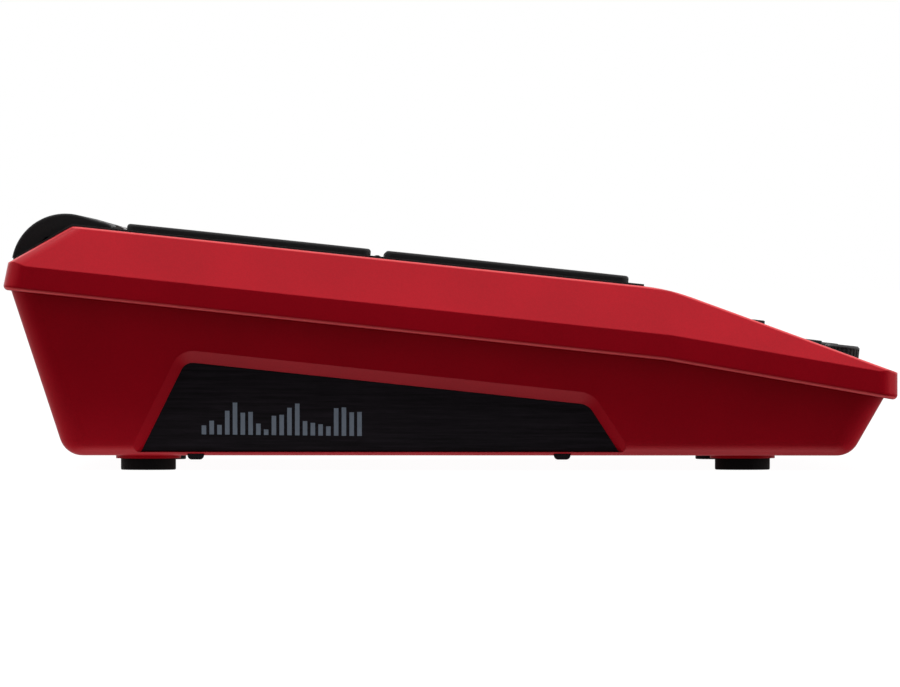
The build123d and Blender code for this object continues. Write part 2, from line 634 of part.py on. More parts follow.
def make_light_bars():
    """Lenses with a crowned top; the rear ones also climb towards the shoulder pads."""
    side_view = Plane(origin=DECK.origin, x_dir=DECK.y_dir, z_dir=(1, 0, 0))
    bars = []
    for xs, (front, rear), (low, crown, high) in light_bar_places():
        section = make_face([
            Line((front, DECK_BELOW), (front, low)),
            ThreePointArc((front, low), ((front + rear) / 2, crown), (rear, high)),
            Line((rear, high), (rear, DECK_BELOW)),
            Line((rear, DECK_BELOW), (front, DECK_BELOW)),
        ])
        bars.append(side_view.location * Pos(0, 0, xs[0]) * extrude(section, xs[1] - xs[0]))
    return Compound(children=bars)


def make_flat_pad(x, span):
    """Rubber pad that shows above the deck, with a flange caught under it."""
    half_x, half_y = PAD_WIDTH / 2, PAD_LENGTH / 2
    pad = slab(DECK, (x - half_x, x + half_x), (span - half_y, span + half_y),
               (FLANGE_TOP, PAD_TOP), PAD_CORNER)
    top = [edge for edge in pad.edges()
           if all(abs(DECK.to_local_coords(p).Z - PAD_TOP) < 0.01 for p in edge_ends(edge))]
    pad = fillet(top, PAD_ROUND)
    half_x, half_y = half_x + FLANGE, half_y + FLANGE
    return pad + slab(DECK, (x - half_x, x + half_x), (span - half_y, span + half_y),
                      (FLANGE_BOTTOM, FLANGE_TOP), PAD_CORNER + FLANGE)


def shoulder_face():
    """Side outline of a shoulder pad: a ramp, a round top and a thin rear skirt."""
    centre_y, centre_z = SHOULDER_CENTRE
    slope = radians(SHOULDER_SLOPE)
    radius, inner = SHOULDER_RADIUS, SHOULDER_RADIUS - SHOULDER_SKIRT
    ramp_y = centre_y - radius * sin(slope)
    ramp_z = centre_z + radius * cos(slope)
    front_z = ramp_z - (ramp_y - SHOULDER_FRONT_Y) * tan(slope)
    drop = SHOULDER_SKIRT_Z - centre_z
    skirt_out = centre_y + sqrt(radius ** 2 - drop ** 2)
    skirt_in = centre_y + sqrt(inner ** 2 - drop ** 2)
    on_top = (centre_y + radius / 2, centre_z + radius * sqrt(3) / 2)
    return make_face([
        Line((SHOULDER_FRONT_Y, SHOULDER_BASE_Z), (SHOULDER_FRONT_Y, front_z)),
        Line((SHOULDER_FRONT_Y, front_z), (ramp_y, ramp_z)),
        ThreePointArc((ramp_y, ramp_z), on_top, (skirt_out, SHOULDER_SKIRT_Z)),
        Line((skirt_out, SHOULDER_SKIRT_Z), (skirt_in, SHOULDER_SKIRT_Z)),
        Line((skirt_in, SHOULDER_SKIRT_Z), (SHOULDER_REST_Y, SHOULDER_BASE_Z)),
        Line((SHOULDER_REST_Y, SHOULDER_BASE_Z), (SHOULDER_FRONT_Y, SHOULDER_BASE_Z)),
    ])


def make_shoulder_pad(x):
    half = PAD_WIDTH / 2
    pad = prism(shoulder_face(), x - half, x + half)

    def is_end(edge):
        a, b = edge_ends(edge)
        at_end = abs(abs(a.X - x) - half) < 0.01 and abs(a.X - b.X) < 0.01
        return at_end and max(a.Z, b.Z) > 94 and (a - b).length > 8

    return fillet_where(pad, is_end, 0.9)


def make_pad_chassis():
    """Steel sheet under the pads, flat again below the shoulder pads."""
    top, bottom = CHASSIS_TOP, CHASSIS_TOP - CHASSIS_THICK
    front = DECK_FRONT_Y + 2
    shelf_z = deck_z(SHELF_FRONT_Y, top)
    outline = [
        (front, deck_z(front, top)),
        (SHELF_FRONT_Y, shelf_z),
        (SHELF_REAR_Y, shelf_z),
        (SHELF_REAR_Y, shelf_z - CHASSIS_THICK),
        (SHELF_FRONT_Y, shelf_z - CHASSIS_THICK),
        (front, deck_z(front, bottom)),
    ]
    sheet = polygon_prism(outline, -DECK_HALF_WIDTH + 0.3, DECK_HALF_WIDTH - 0.3)
    for y in POST_YS:
        sheet -= both_sides(rod(LEVEL, POST_X, y, 1.7, (40, 120)))
    return sheet


def make_pad_cushions():
    cushions = []
    half_x, half_y = CUSHION_SIZE[0] / 2, CUSHION_SIZE[1] / 2
    shelf_z = deck_z(SHELF_FRONT_Y, CHASSIS_TOP)
    for x in COLUMNS:
        for span in ROW_CENTRES:
            cushions.append(block(DECK, (x - half_x, x + half_x), (span - half_y, span + half_y),
                                  (CHASSIS_TOP, CHASSIS_TOP + CUSHION_THICK)))
        cushions.append(block(LEVEL, (x - half_x, x + half_x),
                              (SHELF_FRONT_Y + 1, SHELF_REAR_Y - 1),
                              (shelf_z, shelf_z + SHELF_CUSHION_THICK)))
    return Compound(children=cushions)


def make_piezo_sensors():
    discs = []
    bottom = CHASSIS_TOP - CHASSIS_THICK
    shelf_z = deck_z(SHELF_FRONT_Y, CHASSIS_TOP) - CHASSIS_THICK
    for x in COLUMNS:
        for span in ROW_CENTRES:
            discs.append(rod(DECK, x, span, SENSOR_RADIUS, (bottom - SENSOR_THICK, bottom)))
        discs.append(rod(LEVEL, x, SHELF_SENSOR_Y, SHELF_SENSOR_RADIUS,
                         (shelf_z - SENSOR_THICK, shelf_z)))
    return Compound(children=discs)


# --- control panel --------------------------------------------------------------------
def button_limits(x, width, row, grow=0.0):
    front = row[0]
    xs = (x - width / 2 - grow, x + width / 2 + grow)
    return xs, (front - grow, front + BUTTON_DEPTH + grow)


def make_control_panel():
    plate = slab(PANEL, (-PANEL_HALF_WIDTH, PANEL_HALF_WIDTH), PANEL_SPAN,
                 (PANEL_TOP - PANEL_THICK, PANEL_TOP), PANEL_CORNER)
    plate -= make_lens_block()
    ledge = PANEL_LEDGE
    plate -= block(PANEL, (DISPLAY_X[0] + ledge, DISPLAY_X[1] - ledge),
                   (DISPLAY_SPAN[0] + ledge, DISPLAY_SPAN[1] - ledge), (-THROUGH, THROUGH))
    for x, width, row in BUTTONS.values():
        xs, spans = button_limits(x, width, row, BUTTON_GAP)
        plate -= slab(DECK, xs, spans, (row[1] - 12, row[1] + 6), 1.2)
    for x in KNOB_XS:
        plate -= rod(DECK, x, KNOB_SPAN, KNOB_RADIUS + 0.6, (KNOB_TOP - 12, KNOB_TOP + 6))
    return plate


def make_lens_block():
    return block(PANEL, DISPLAY_X, DISPLAY_SPAN, (PANEL_TOP - LENS_THICK, PANEL_TOP))


def make_display_module():
    seat = PANEL_TOP - PANEL_THICK
    return block(PANEL, DISPLAY_X, DISPLAY_SPAN, (seat - 6, seat))


def make_panel_board():
    board = block(DECK, BOARD_XS, BOARD_SPANS, (BOARD_TOP - BOARD_THICK, BOARD_TOP))
    for x, y in PANEL_POSTS:
        board -= rod(DECK, x, panel_post_span(y), BOARD_SCREW_RADIUS,
                     (BOARD_TOP - THROUGH, BOARD_TOP + 1))
    return board


def make_button(x, width, row):
    """Key cap with a flat top, on a stem that reaches down to its switch."""
    xs, spans = button_limits(x, width, row)
    top = row[1]
    cap = slab(DECK, xs, spans, (top - CAP_HEIGHT, top), 1.0)
    rim = [edge for edge in cap.edges()
           if all(abs(DECK.to_local_coords(p).Z - top) < 0.01 for p in edge_ends(edge))]
    cap = fillet(rim, 0.45)
    middle = (spans[0] + spans[1]) / 2
    half = STEM_SIZE / 2
    stem = block(DECK, (x - half, x + half), (middle - half, middle + half),
                 (SWITCH_TOP + BUTTON_TRAVEL + 0.1, top - CAP_HEIGHT))
    return cap + stem


def make_tact_switches():
    switches = []
    for x, width, row in BUTTONS.values():
        xs, spans = button_limits(x, width, row)
        middle = (spans[0] + spans[1]) / 2
        half = SWITCH_SIZE / 2
        body = block(DECK, (x - half, x + half), (middle - half, middle + half),
                     (BOARD_TOP, SWITCH_BODY_TOP))
        switches.append(body + rod(DECK, x, middle, PLUNGER_RADIUS,
                                   (SWITCH_BODY_TOP, SWITCH_TOP)))
    return Compound(children=switches)


def make_potentiometers():
    pots = []
    for x in KNOB_XS:
        body = block(DECK, (x - 4.9, x + 4.9), (KNOB_SPAN - 5.5, KNOB_SPAN + 5.5),
                     (BOARD_TOP, -26.2))
        body += rod(DECK, x, KNOB_SPAN, 3.9, (-26.2, -24.2))
        pots.append(body - rod(DECK, x, KNOB_SPAN, SHAFT_RADIUS + 0.05, (-31.1, -20)))
    return Compound(children=pots)


def make_knob(x):
    """Ribbed knob with a shallow dished top and a pointer groove."""
    bottom = KNOB_TOP - KNOB_HEIGHT
    knob = rod(DECK, x, KNOB_SPAN, KNOB_RADIUS, (bottom, KNOB_TOP))
    rim = [edge for edge in knob.edges()
           if abs(DECK.to_local_coords(edge.position_at(0)).Z - KNOB_TOP) < 0.01]
    knob = chamfer(rim, 0.7)
    for i in range(KNOB_RIBS):
        turn = 2 * pi * (i + 0.5) / KNOB_RIBS
        reach = KNOB_RADIUS + 0.2
        knob -= rod(DECK, x + reach * cos(turn), KNOB_SPAN + reach * sin(turn), 0.6,
                    (bottom - 1, KNOB_TOP - 1.2))
    knob -= block(DECK, (x - 0.5, x + 0.5), (KNOB_SPAN + 1.2, KNOB_SPAN + KNOB_RADIUS - 0.9),
                  (KNOB_TOP - 0.5, KNOB_TOP + 1))
    return knob - rod(DECK, x, KNOB_SPAN, SHAFT_RADIUS, (bottom - 1, KNOB_TOP - 3))


def make_knob_shaft(x):
    return rod(DECK, x, KNOB_SPAN, SHAFT_RADIUS, (-31.0, KNOB_TOP - 3))


# --- sockets and switch ----------------------------------------------------------------
def make_rear_jack_plate():
    plate = block(LEVEL, BAY_X, PLATE_Y, BAY_Z)
    ys = (PLATE_Y[0] - 1, PLATE_Y[1] + 1)
    for x in JACK_XS:
        plate -= bar_y(x, SOCKET_Z, COLLAR_RADIUS, ys)
    for x in DIN_XS:
        plate -= bar_y(x, SOCKET_Z, DIN_RADIUS, ys)
    plate -= block(LEVEL, (USB_B_X - 6, USB_B_X + 6), ys, (26, 36.8))
    plate -= block(LEVEL, (USB_A_X - 6.6, USB_A_X + 6.6), ys, (26, 31.8))
    plate -= bar_y(INLET_X, 32.5, 4.4, ys)
    plate -= block(LEVEL, (ROCKER_X - 6, ROCKER_X + 6), ys, (SOCKET_Z - 9, SOCKET_Z + 9))
    return plate


def make_audio_sockets():
    """Quarter-inch jack sockets: body on the board, threaded collar and nut outside."""
    front = PLATE_Y[0]
    board = JACK_BOARD_Z + BOARD_THICK
    sockets = []
    for x in JACK_XS:
        socket = block(LEVEL, (x - 8, x + 8), (front - 26, front), (board, board + 22))
        socket += bar_y(x, SOCKET_Z, COLLAR_RADIUS, (front - 1, COLLAR_Y))
        socket += bar_y(x, SOCKET_Z, NUT_RADIUS, (PLATE_Y[1], PLATE_Y[1] + 1.8))
        sockets.append(socket - bar_y(x, SOCKET_Z, JACK_BORE, (COLLAR_Y - JACK_DEPTH, BIG)))
    return Compound(children=sockets)


def make_midi_sockets():
    """Round five-pin sockets: the pin holes lie on an arc below the middle."""
    board = JACK_BOARD_Z + BOARD_THICK
    sockets = []
    for x in DIN_XS:
        socket = block(LEVEL, (x - 10, x + 10), (128, PLATE_Y[0]), (board, board + 21))
        socket += bar_y(x, SOCKET_Z, DIN_RADIUS, (PLATE_Y[0], PLATE_Y[1] + 0.6))
        socket -= bar_y(x, SOCKET_Z, 6.9, (144.4, 160)) - bar_y(x, SOCKET_Z, 6.2, (140, 160))
        for i in range(5):
            turn = radians(180 + 45 * i)
            socket -= bar_y(x + 3.9 * cos(turn), SOCKET_Z + 3.9 * sin(turn), 0.8, (138, 160))
        sockets.append(socket)
    return Compound(children=sockets)


def make_usb_sockets():
    """One tall device socket and one flat host socket, each a shell with a tongue inside."""
    board = JACK_BOARD_Z + BOARD_THICK
    front = PLATE_Y[1] + 0.3
    tall = block(LEVEL, (USB_B_X - 6, USB_B_X + 6), (129, front), (board, board + 10.8))
    tall -= block(LEVEL, (USB_B_X - 4.2, USB_B_X + 4.2), (137, 160), (board + 1.5, board + 9.3))
    tall += block(LEVEL, (USB_B_X - 2.8, USB_B_X + 2.8), (136, 145), (board + 3.8, board + 7.0))
    flat = block(LEVEL, (USB_A_X - 6.6, USB_A_X + 6.6), (132, front), (board, board + 5.8))
    flat -= block(LEVEL, (USB_A_X - 6, USB_A_X + 6), (137, 160), (board + 0.6, board + 5.2))
    flat += block(LEVEL, (USB_A_X - 5.5, USB_A_X + 5.5), (136, 145), (board + 3.2, board + 4.8))
    return Compound(children=[tall, flat])


def make_power_inlet():
    board = JACK_BOARD_Z + BOARD_THICK
    z = 32.5
    body = block(LEVEL, (INLET_X - 4.5, INLET_X + 4.5), (130, PLATE_Y[0]), (board, board + 11))
    body += bar_y(INLET_X, z, 4.4, (PLATE_Y[0], PLATE_Y[1] + 0.4))
    body -= bar_y(INLET_X, z, 2.9, (136.5, 160)) - bar_y(INLET_X, z, 1.05, (130, 144.5))
    return body


def make_switch_housing():
    z = SOCKET_Z
    body = block(LEVEL, (ROCKER_X - 6, ROCKER_X + 6), (132, PLATE_Y[1]), (z - 9, z + 9))
    body += slab(Plane.XZ, (ROCKER_X - 7.5, ROCKER_X + 7.5), (z - 10.5, z + 10.5),
                 (-PLATE_Y[1] - 1.2, -PLATE_Y[1]), 1.2)
    body -= block(LEVEL, (ROCKER_X - 5.3, ROCKER_X + 5.3), (135, 160), (z - 8.3, z + 8.3))
    axle = Pos(ROCKER_X, ROCKER_PIVOT_Y, z) * Rot(0, 90, 0)
    return body - axle * Cylinder(1.06, 12.4)


def make_power_rocker():
    """Rocker with a shallow V front, held at one end of its swing."""
    half, rise = 7.7, 7.7 * tan(radians(ROCKER_TILT))
    front = 1.7
    corners = [
        (front, 0, 0),
        (front + rise, half, 0.5),
        (-3.0, 6.2, 0.5),
        (-5.0, 0, 0),
        (-3.0, -6.2, 0.5),
        (front + rise, -half, 0.5),
    ]
    rocker = prism(rounded_face(corners), -5.0, 5.0)
    rocker += Rot(0, 90, 0) * Cylinder(1.0, 11.6)
    return Pos(ROCKER_X, ROCKER_PIVOT_Y, SOCKET_Z) * Rot(-ROCKER_TILT, 0, 0) * rocker


def make_cord_hook():
    """Small hook beside the power inlet that keeps the adaptor's lead from pulling out."""
    x, z = INLET_X, 46.0
    face = PLATE_Y[1]
    hook = block(LEVEL, (x - 4, x + 4), (face, face + 1.2), (z - 3.5, z + 4))
    hook += block(LEVEL, (x - 2.5, x + 2.5), (face, face + 6.4), (z - 3.5, z - 1.7))
    hook += block(LEVEL, (x - 2.5, x + 2.5), (face + 4.6, face + 6.4), (z - 3.5, z + 3))
    return hook


# --- boards -------------------------------------------------------------------------------
def make_main_board():
    zs = (MAIN_BOARD_Z, MAIN_BOARD_Z + BOARD_THICK)
    board = block(LEVEL, MAIN_BOARD_XS, MAIN_BOARD_YS, zs)
    for x, y in MAIN_POSTS:
        board -= rod(LEVEL, x, y, BOARD_SCREW_RADIUS, (zs[0] - 1, zs[1] + 1))
    return board


def make_board_chips():
    top = MAIN_BOARD_Z + BOARD_THICK
    places = [(-30, 20, 24, 24, 2.4), (25, 35, 18, 22, 1.6), (25, 0, 18, 22, 1.6),
              (-65, -20, 14, 10, 2.0), (60, -30, 20, 14, 4.0), (-60, 55, 12, 12, 8.0)]
    chips = [block(LEVEL, (x - w / 2, x + w / 2), (y - d / 2, y + d / 2), (top, top + h))
             for x, y, w, d, h in places]
    return Compound(children=chips)


def make_jack_board():
    zs = (JACK_BOARD_Z, JACK_BOARD_Z + BOARD_THICK)
    board = block(LEVEL, JACK_BOARD_XS, JACK_BOARD_YS, zs)
    for x, y in JACK_POSTS:
        board -= rod(LEVEL, x, y, BOARD_SCREW_RADIUS, (zs[0] - 1, zs[1] + 1))
    return board


def make_ribbon_cable():
    """Flat cable from the main board up and over to the control board."""
    low = MAIN_BOARD_Z + BOARD_THICK
    top, thick = 40.0, 0.5
    front, rear = -93.0, -64.0
    end = deck_z(front, BOARD_TOP) + 0.1
    outline = [(rear, low, 0), (rear, top, 4), (front, top, 4), (front, end, 0)]
    outline += [(front + thick, end, 0), (front + thick, top - thick, 3.5)]
    outline += [(rear - thick, top - thick, 3.5), (rear - thick, low, 0)]
    return prism(rounded_face(outline), -40, -10)


def make_nodes():
    inlay = inlay_solid()
    nodes = {
        "top_cover": make_top_cover(),
        "bottom_case": make_bottom_case(),
        "side_inlay_right": inlay,
        "side_inlay_left": mirror(inlay, Plane.YZ),
        "pad_deck": make_pad_deck(),
        "light_bars": make_light_bars(),
        "pad_chassis": make_pad_chassis(),
        "pad_cushions": make_pad_cushions(),
        "piezo_sensors": make_piezo_sensors(),
        "control_panel": make_control_panel(),
        "display_lens": make_lens_block(),
        "display_module": make_display_module(),
        "panel_board": make_panel_board(),
        "tact_switches": make_tact_switches(),
        "potentiometers": make_potentiometers(),
        "main_board": make_main_board(),
        "board_chips": make_board_chips(),
        "jack_board": make_jack_board(),
        "ribbon_cable": make_ribbon_cable(),
        "rear_jack_plate": make_rear_jack_plate(),
        "audio_sockets": make_audio_sockets(),
        "midi_sockets": make_midi_sockets(),
        "usb_sockets": make_usb_sockets(),
        "power_inlet": make_power_inlet(),
        "switch_housing": make_switch_housing(),
        "power_rocker": make_power_rocker(),
        "cord_hook": make_cord_hook(),
        "rubber_feet": make_rubber_feet(),
        "mount_inserts": make_mount_inserts(),
        "case_screws": make_case_screws(),
        "board_screws": make_board_screws(),
    }
    for column, x in enumerate(COLUMNS):
        nodes[f"pad_{column + 1}"] = make_shoulder_pad(x)
        for row, span in enumerate(ROW_CENTRES):
            nodes[f"pad_{4 + 3 * row + column}"] = make_flat_pad(x, span)
    for i, x in enumerate(KNOB_XS):
        nodes[f"knob_{i + 1}"] = make_knob(x)
        nodes[f"knob_shaft_{i + 1}"] = make_knob_shaft(x)
    for name, (x, width, row) in BUTTONS.items():
        nodes[name] = make_button(x, width, row)
    return nodes


os.makedirs("parts", exist_ok=True)
for node, shape in make_nodes().items():
    export_step(shape, f"parts/{node}.step")
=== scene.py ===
"""Looks of the nine-pad electronic drum pad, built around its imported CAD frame.

Metres, in the frame's own axes: X across the instrument, -Y the player's side, +Z up.
"""

import bmesh
import bpy
import json
from math import atan2, cos, pi, radians, sin, sqrt, tan
from mathutils import Matrix, Vector


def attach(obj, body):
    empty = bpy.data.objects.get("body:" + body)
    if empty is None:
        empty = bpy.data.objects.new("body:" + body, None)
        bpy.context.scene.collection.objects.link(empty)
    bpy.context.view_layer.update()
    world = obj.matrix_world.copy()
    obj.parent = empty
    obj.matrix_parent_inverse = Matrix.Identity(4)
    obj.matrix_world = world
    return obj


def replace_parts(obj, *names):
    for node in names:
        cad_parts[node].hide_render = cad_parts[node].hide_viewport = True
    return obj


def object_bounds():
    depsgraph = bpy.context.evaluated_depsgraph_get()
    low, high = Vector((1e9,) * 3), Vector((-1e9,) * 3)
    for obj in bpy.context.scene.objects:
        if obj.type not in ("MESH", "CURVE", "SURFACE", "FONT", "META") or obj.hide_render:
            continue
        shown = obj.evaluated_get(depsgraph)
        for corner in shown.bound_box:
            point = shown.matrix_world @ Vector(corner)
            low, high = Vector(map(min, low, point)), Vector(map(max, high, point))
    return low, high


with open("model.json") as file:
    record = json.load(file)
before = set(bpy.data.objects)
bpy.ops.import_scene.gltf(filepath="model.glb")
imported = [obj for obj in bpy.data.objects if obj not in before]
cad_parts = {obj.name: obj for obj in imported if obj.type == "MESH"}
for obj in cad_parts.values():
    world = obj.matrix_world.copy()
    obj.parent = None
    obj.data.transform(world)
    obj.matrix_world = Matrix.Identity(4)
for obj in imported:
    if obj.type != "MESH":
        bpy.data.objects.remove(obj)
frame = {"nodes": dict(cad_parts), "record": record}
cad_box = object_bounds()

MM = 0.001
NODES = frame["nodes"]
UP = Vector((0, 0, 1))
PADS = [f"pad_{i}" for i in range(1, 10)]
KNOBS = [f"knob_{i}" for i in range(1, 5)]
EFFECT_KEYS = [f"effect_button_{i}" for i in range(1, 5)]
MENU_KEYS = ["menu_button", "exit_button", "enter_button"]
FUNCTION_KEYS = [f"function_button_{i}" for i in range(1, 4)]
VALUE_KEYS = ["minus_button", "plus_button"]


# --- materials: small helpers ----------------------------------------------------
class Paint:
    """A principled material, with the textures that feed its colour, roughness and bump."""

    def __init__(self, name, colour, roughness, **sockets):
        self.made = bpy.data.materials.new(name)
        self.made.use_nodes = True
        self.tree = self.made.node_tree
        self.shader = self.tree.nodes["Principled BSDF"]
        self.colour = colour
        self.set("Base Color", (*colour, 1))
        self.set("Roughness", roughness)
        for socket, value in sockets.items():
            self.set(socket.replace("_", " "), value)
        self.place = self.node("ShaderNodeTexCoord").outputs["Object"]
        self.normal = None

    def set(self, socket, value):
        self.shader.inputs[socket].default_value = value

    def node(self, kind, inputs=None, **settings):
        made = self.tree.nodes.new(kind)
        for name, value in settings.items():
            setattr(made, name, value)
        for name, value in (inputs or {}).items():
            if isinstance(value, bpy.types.NodeSocket):
                self.tree.links.new(value, made.inputs[name])
            else:
                made.inputs[name].default_value = value
        return made

    def stretched(self, stretch, turn=(0, 0, 0)):
        """Texture place squeezed along each axis, after a turn in degrees."""
        turned = self.node("ShaderNodeMapping", {
            "Vector": self.place, "Rotation": tuple(radians(a) for a in turn)})
        return self.node("ShaderNodeMapping", {
            "Vector": turned.outputs[0], "Scale": stretch}).outputs[0]

    def noise(self, size, detail=3.0, stretch=None, turn=(0, 0, 0), rough=0.55):
        """Cloudy pattern with features about this size, in metres."""
        place = self.stretched(stretch, turn) if stretch else self.place
        return self.node("ShaderNodeTexNoise", {
            "Vector": place, "Scale": 1 / size, "Detail": detail,
            "Roughness": rough}).outputs["Fac"]

    def cells(self, size, feature="F1", output="Distance", stretch=None):
        place = self.stretched(stretch) if stretch else self.place
        return self.node("ShaderNodeTexVoronoi", {"Vector": place, "Scale": 1 / size},
                         feature=feature).outputs[output]

    def span(self, value, low, high, start=0.0, stop=1.0):
        """The value's range from start to stop, spread to run from low to high."""
        return self.node("ShaderNodeMapRange", {
            "Value": value, "From Min": start, "From Max": stop,
            "To Min": low, "To Max": high}).outputs[0]

    def shade(self, factor, dark, light):
        """Base colour from dark to light by the factor."""
        mixed = self.node("ShaderNodeMix", {"Factor": factor}, data_type="RGBA")
        mixed.inputs["A"].default_value = (*dark, 1)
        mixed.inputs["B"].default_value = (*light, 1)
        self.tree.links.new(mixed.outputs["Result"], self.shader.inputs["Base Color"])
        return mixed.outputs["Result"]

    def vary_roughness(self, factor, low, high):
        self.tree.links.new(self.span(factor, low, high), self.shader.inputs["Roughness"])

    def soften(self, radius):
        """Rounds every sharp edge a little, as moulding and lacquer do."""
        self.normal = self.node("ShaderNodeBevel", {"Radius": radius}, samples=4).outputs[0]
        self.tree.links.new(self.normal, self.shader.inputs["Normal"])

    def bump(self, height, depth, strength=1.0):
        """Relief of this depth, in metres, on top of what relief there is."""
        inputs = {"Height": height, "Distance": depth, "Strength": strength}
        if self.normal:
            inputs["Normal"] = self.normal
        self.normal = self.node("ShaderNodeBump", inputs).outputs[0]
        self.tree.links.new(self.normal, self.shader.inputs["Normal"])


def tint(colour, factor):
    return tuple(min(1.0, c * factor) for c in colour)


# --- materials of the casing --------------------------------------------------------
RED = (0.305, 0.0012, 0.0078)
# Paler red of the painted highlight along the rim's foot and the top edges.
PAINTED_HIGHLIGHT_RED = (0.55, 0.055, 0.06)


RIM_FOOT_LINES = ((0.0496, 0.1067), (0.05486, 0.1725))     # rear and front: Z at Y = 0, slope
TOP_LINES = ((0.07622, 0.10495), (0.09752, 0.3671), (0.17214, -0.5763))


def height_over(paint, axes, lines, raise_by=0.0):
    """Height over the lowest of some lines drawn in the side view of the instrument."""
    heights = []
    for level, slope in lines:
        line = paint.node("ShaderNodeMath", {0: axes.outputs[1], 1: slope,
                          2: level + raise_by}, operation="MULTIPLY_ADD").outputs[0]
        heights.append(paint.node("ShaderNodeMath", {0: axes.outputs[2], 1: line},
                                  operation="SUBTRACT").outputs[0])
    highest = heights[0]
    for height in heights[1:]:
        highest = paint.node("ShaderNodeMath", {0: highest, 1: height},
                             operation="MAXIMUM").outputs[0]
    return highest


def painted_edge_highlight(paint):
    """Painted highlight: a paler band along the rim's foot and the top edges, only on faces turned
    sideways, standing in for light caught by the lacquer's rounded edges.
    """
    axes = paint.node("ShaderNodeSeparateXYZ", {"Vector": paint.place})
    foot = height_over(paint, axes, RIM_FOOT_LINES, 0.0007)
    top = height_over(paint, axes, TOP_LINES, -0.0003)
    bands = []
    for height, half in ((foot, 0.0006), (top, 0.0005)):
        away = paint.node("ShaderNodeMath", {0: height}, operation="ABSOLUTE").outputs[0]
        bands.append(paint.span(away, 1.0, 0.0, half * 0.4, half))
    both = paint.node("ShaderNodeMath", {0: bands[0], 1: bands[1]},
                      operation="MAXIMUM").outputs[0]
    facing_out = paint.node("ShaderNodeSeparateXYZ", {
        "Vector": paint.node("ShaderNodeNewGeometry").outputs["Normal"]}).outputs[0]
    sideways = paint.node("ShaderNodeMath", {0: facing_out}, operation="ABSOLUTE").outputs[0]
    return paint.node("ShaderNodeMath", {0: both, 1: paint.span(sideways, 0, 1, 0.12, 0.3)},
                      operation="MULTIPLY").outputs[0]


def red_casing():
    """Satin red lacquer with fine metal flakes over a moulded shell, with a painted highlight
    along its edges.
    """
    paint = Paint("red_casing", RED, 0.36, Metallic=0.12, Specular_IOR_Level=0.06)
    flakes = paint.cells(0.00045, output="Color")
    cloud = paint.noise(0.035, 2.0)
    grain = paint.node("ShaderNodeSeparateColor", {"Color": flakes}).outputs[0]
    both = paint.node("ShaderNodeMath", {0: paint.span(grain, 0.0, 0.6), 1:
                      paint.span(cloud, 0.0, 0.4, 0.35, 0.65)}, operation="ADD").outputs[0]
    lacquer = paint.shade(both, tint(RED, 0.9), tint(RED, 1.1))
    # Painted highlight: paler red mixed in along the rim's foot and the top edges.
    highlighted = paint.node("ShaderNodeMix", {"Factor": painted_edge_highlight(paint)}, data_type="RGBA")
    paint.tree.links.new(lacquer, highlighted.inputs["A"])
    highlighted.inputs["B"].default_value = (*PAINTED_HIGHLIGHT_RED, 1)
    paint.tree.links.new(highlighted.outputs["Result"], paint.shader.inputs["Base Color"])
    paint.vary_roughness(paint.noise(0.006, 4.0), 0.32, 0.4)
    paint.soften(0.0006)
    paint.bump(paint.noise(0.0005, 2.0), 0.000006)
    return paint.made


def brushed_black():
    """Black anodised plate brushed along the instrument."""
    dark = (0.006, 0.0045, 0.0062)
    paint = Paint("brushed_black", dark, 0.42, Metallic=0.3, Specular_IOR_Level=0.1)
    fine = paint.noise(0.00022, 3.0, stretch=(1, 0.012, 1), rough=0.7)
    broad = paint.noise(0.0011, 2.0, stretch=(1, 0.02, 1))
    both = paint.node("ShaderNodeMath", {0: fine, 1: broad}, operation="MULTIPLY").outputs[0]
    paint.shade(paint.span(both, 0, 1, 0.1, 0.42), tint(dark, 0.45), tint(dark, 2.4))
    paint.vary_roughness(fine, 0.34, 0.55)
    paint.soften(0.0002)
    paint.bump(fine, 0.000012)
    return paint.made


def moulded(name, colour, roughness, grain=0.0005, depth=0.000012, edge=0.0003, shine=0.3):
    """Moulded plastic: fine spark-eroded texture, slightly uneven gloss, softened edges."""
    paint = Paint(name, colour, roughness, Specular_IOR_Level=shine)
    paint.shade(paint.noise(0.02, 3.0), tint(colour, 0.85), tint(colour, 1.2))
    paint.vary_roughness(paint.noise(0.004, 3.0), roughness - 0.05, roughness + 0.07)
    paint.soften(edge)
    paint.bump(paint.noise(grain, 2.0), depth)
    return paint.made


def pad_rubber():
    """Matte drum-pad rubber with a fine pebble grain."""
    colour = (0.0036, 0.003, 0.0036)
    paint = Paint("pad_rubber", colour, 0.62, Specular_IOR_Level=0.22)
    paint.shade(paint.noise(0.03, 4.0), tint(colour, 0.8), tint(colour, 1.35))
    paint.vary_roughness(paint.noise(0.012, 5.0), 0.54, 0.7)
    paint.soften(0.0004)
    paint.bump(paint.cells(0.0009, feature="SMOOTH_F1"), 0.00005)
    paint.bump(paint.noise(0.00025, 2.0), 0.00001)
    return paint.made


def metal(name, colour, roughness, grain=0.0004):
    """Plated metal with faint stains and drawing lines."""
    paint = Paint(name, colour, roughness, Metallic=1.0)
    paint.shade(paint.noise(0.008, 4.0), tint(colour, 0.82), tint(colour, 1.08))
    paint.vary_roughness(paint.noise(grain, 3.0, stretch=(1, 0.1, 1)),
                         roughness - 0.06, roughness + 0.1)
    paint.bump(paint.noise(grain, 2.0), 0.000004)
    return paint.made


def circuit_board():
    """Green solder mask over copper tracks that run in both directions."""
    mask, copper = (0.006, 0.055, 0.022), (0.02, 0.13, 0.05)
    paint = Paint("circuit_board", mask, 0.35)
    tracks = paint.cells(0.004, feature="DISTANCE_TO_EDGE", stretch=(1, 1.6, 0.05))
    paint.shade(paint.span(tracks, 1, 0, 0.03, 0.09), mask, copper)
    paint.bump(tracks, 0.00002)
    return paint.made


def foam():
    colour = (0.035, 0.035, 0.038)
    paint = Paint("foam", colour, 0.95, Sheen_Weight=0.2)
    pores = paint.cells(0.0009)
    paint.shade(pores, tint(colour, 0.4), tint(colour, 1.5))
    paint.bump(pores, 0.0002)
    return paint.made


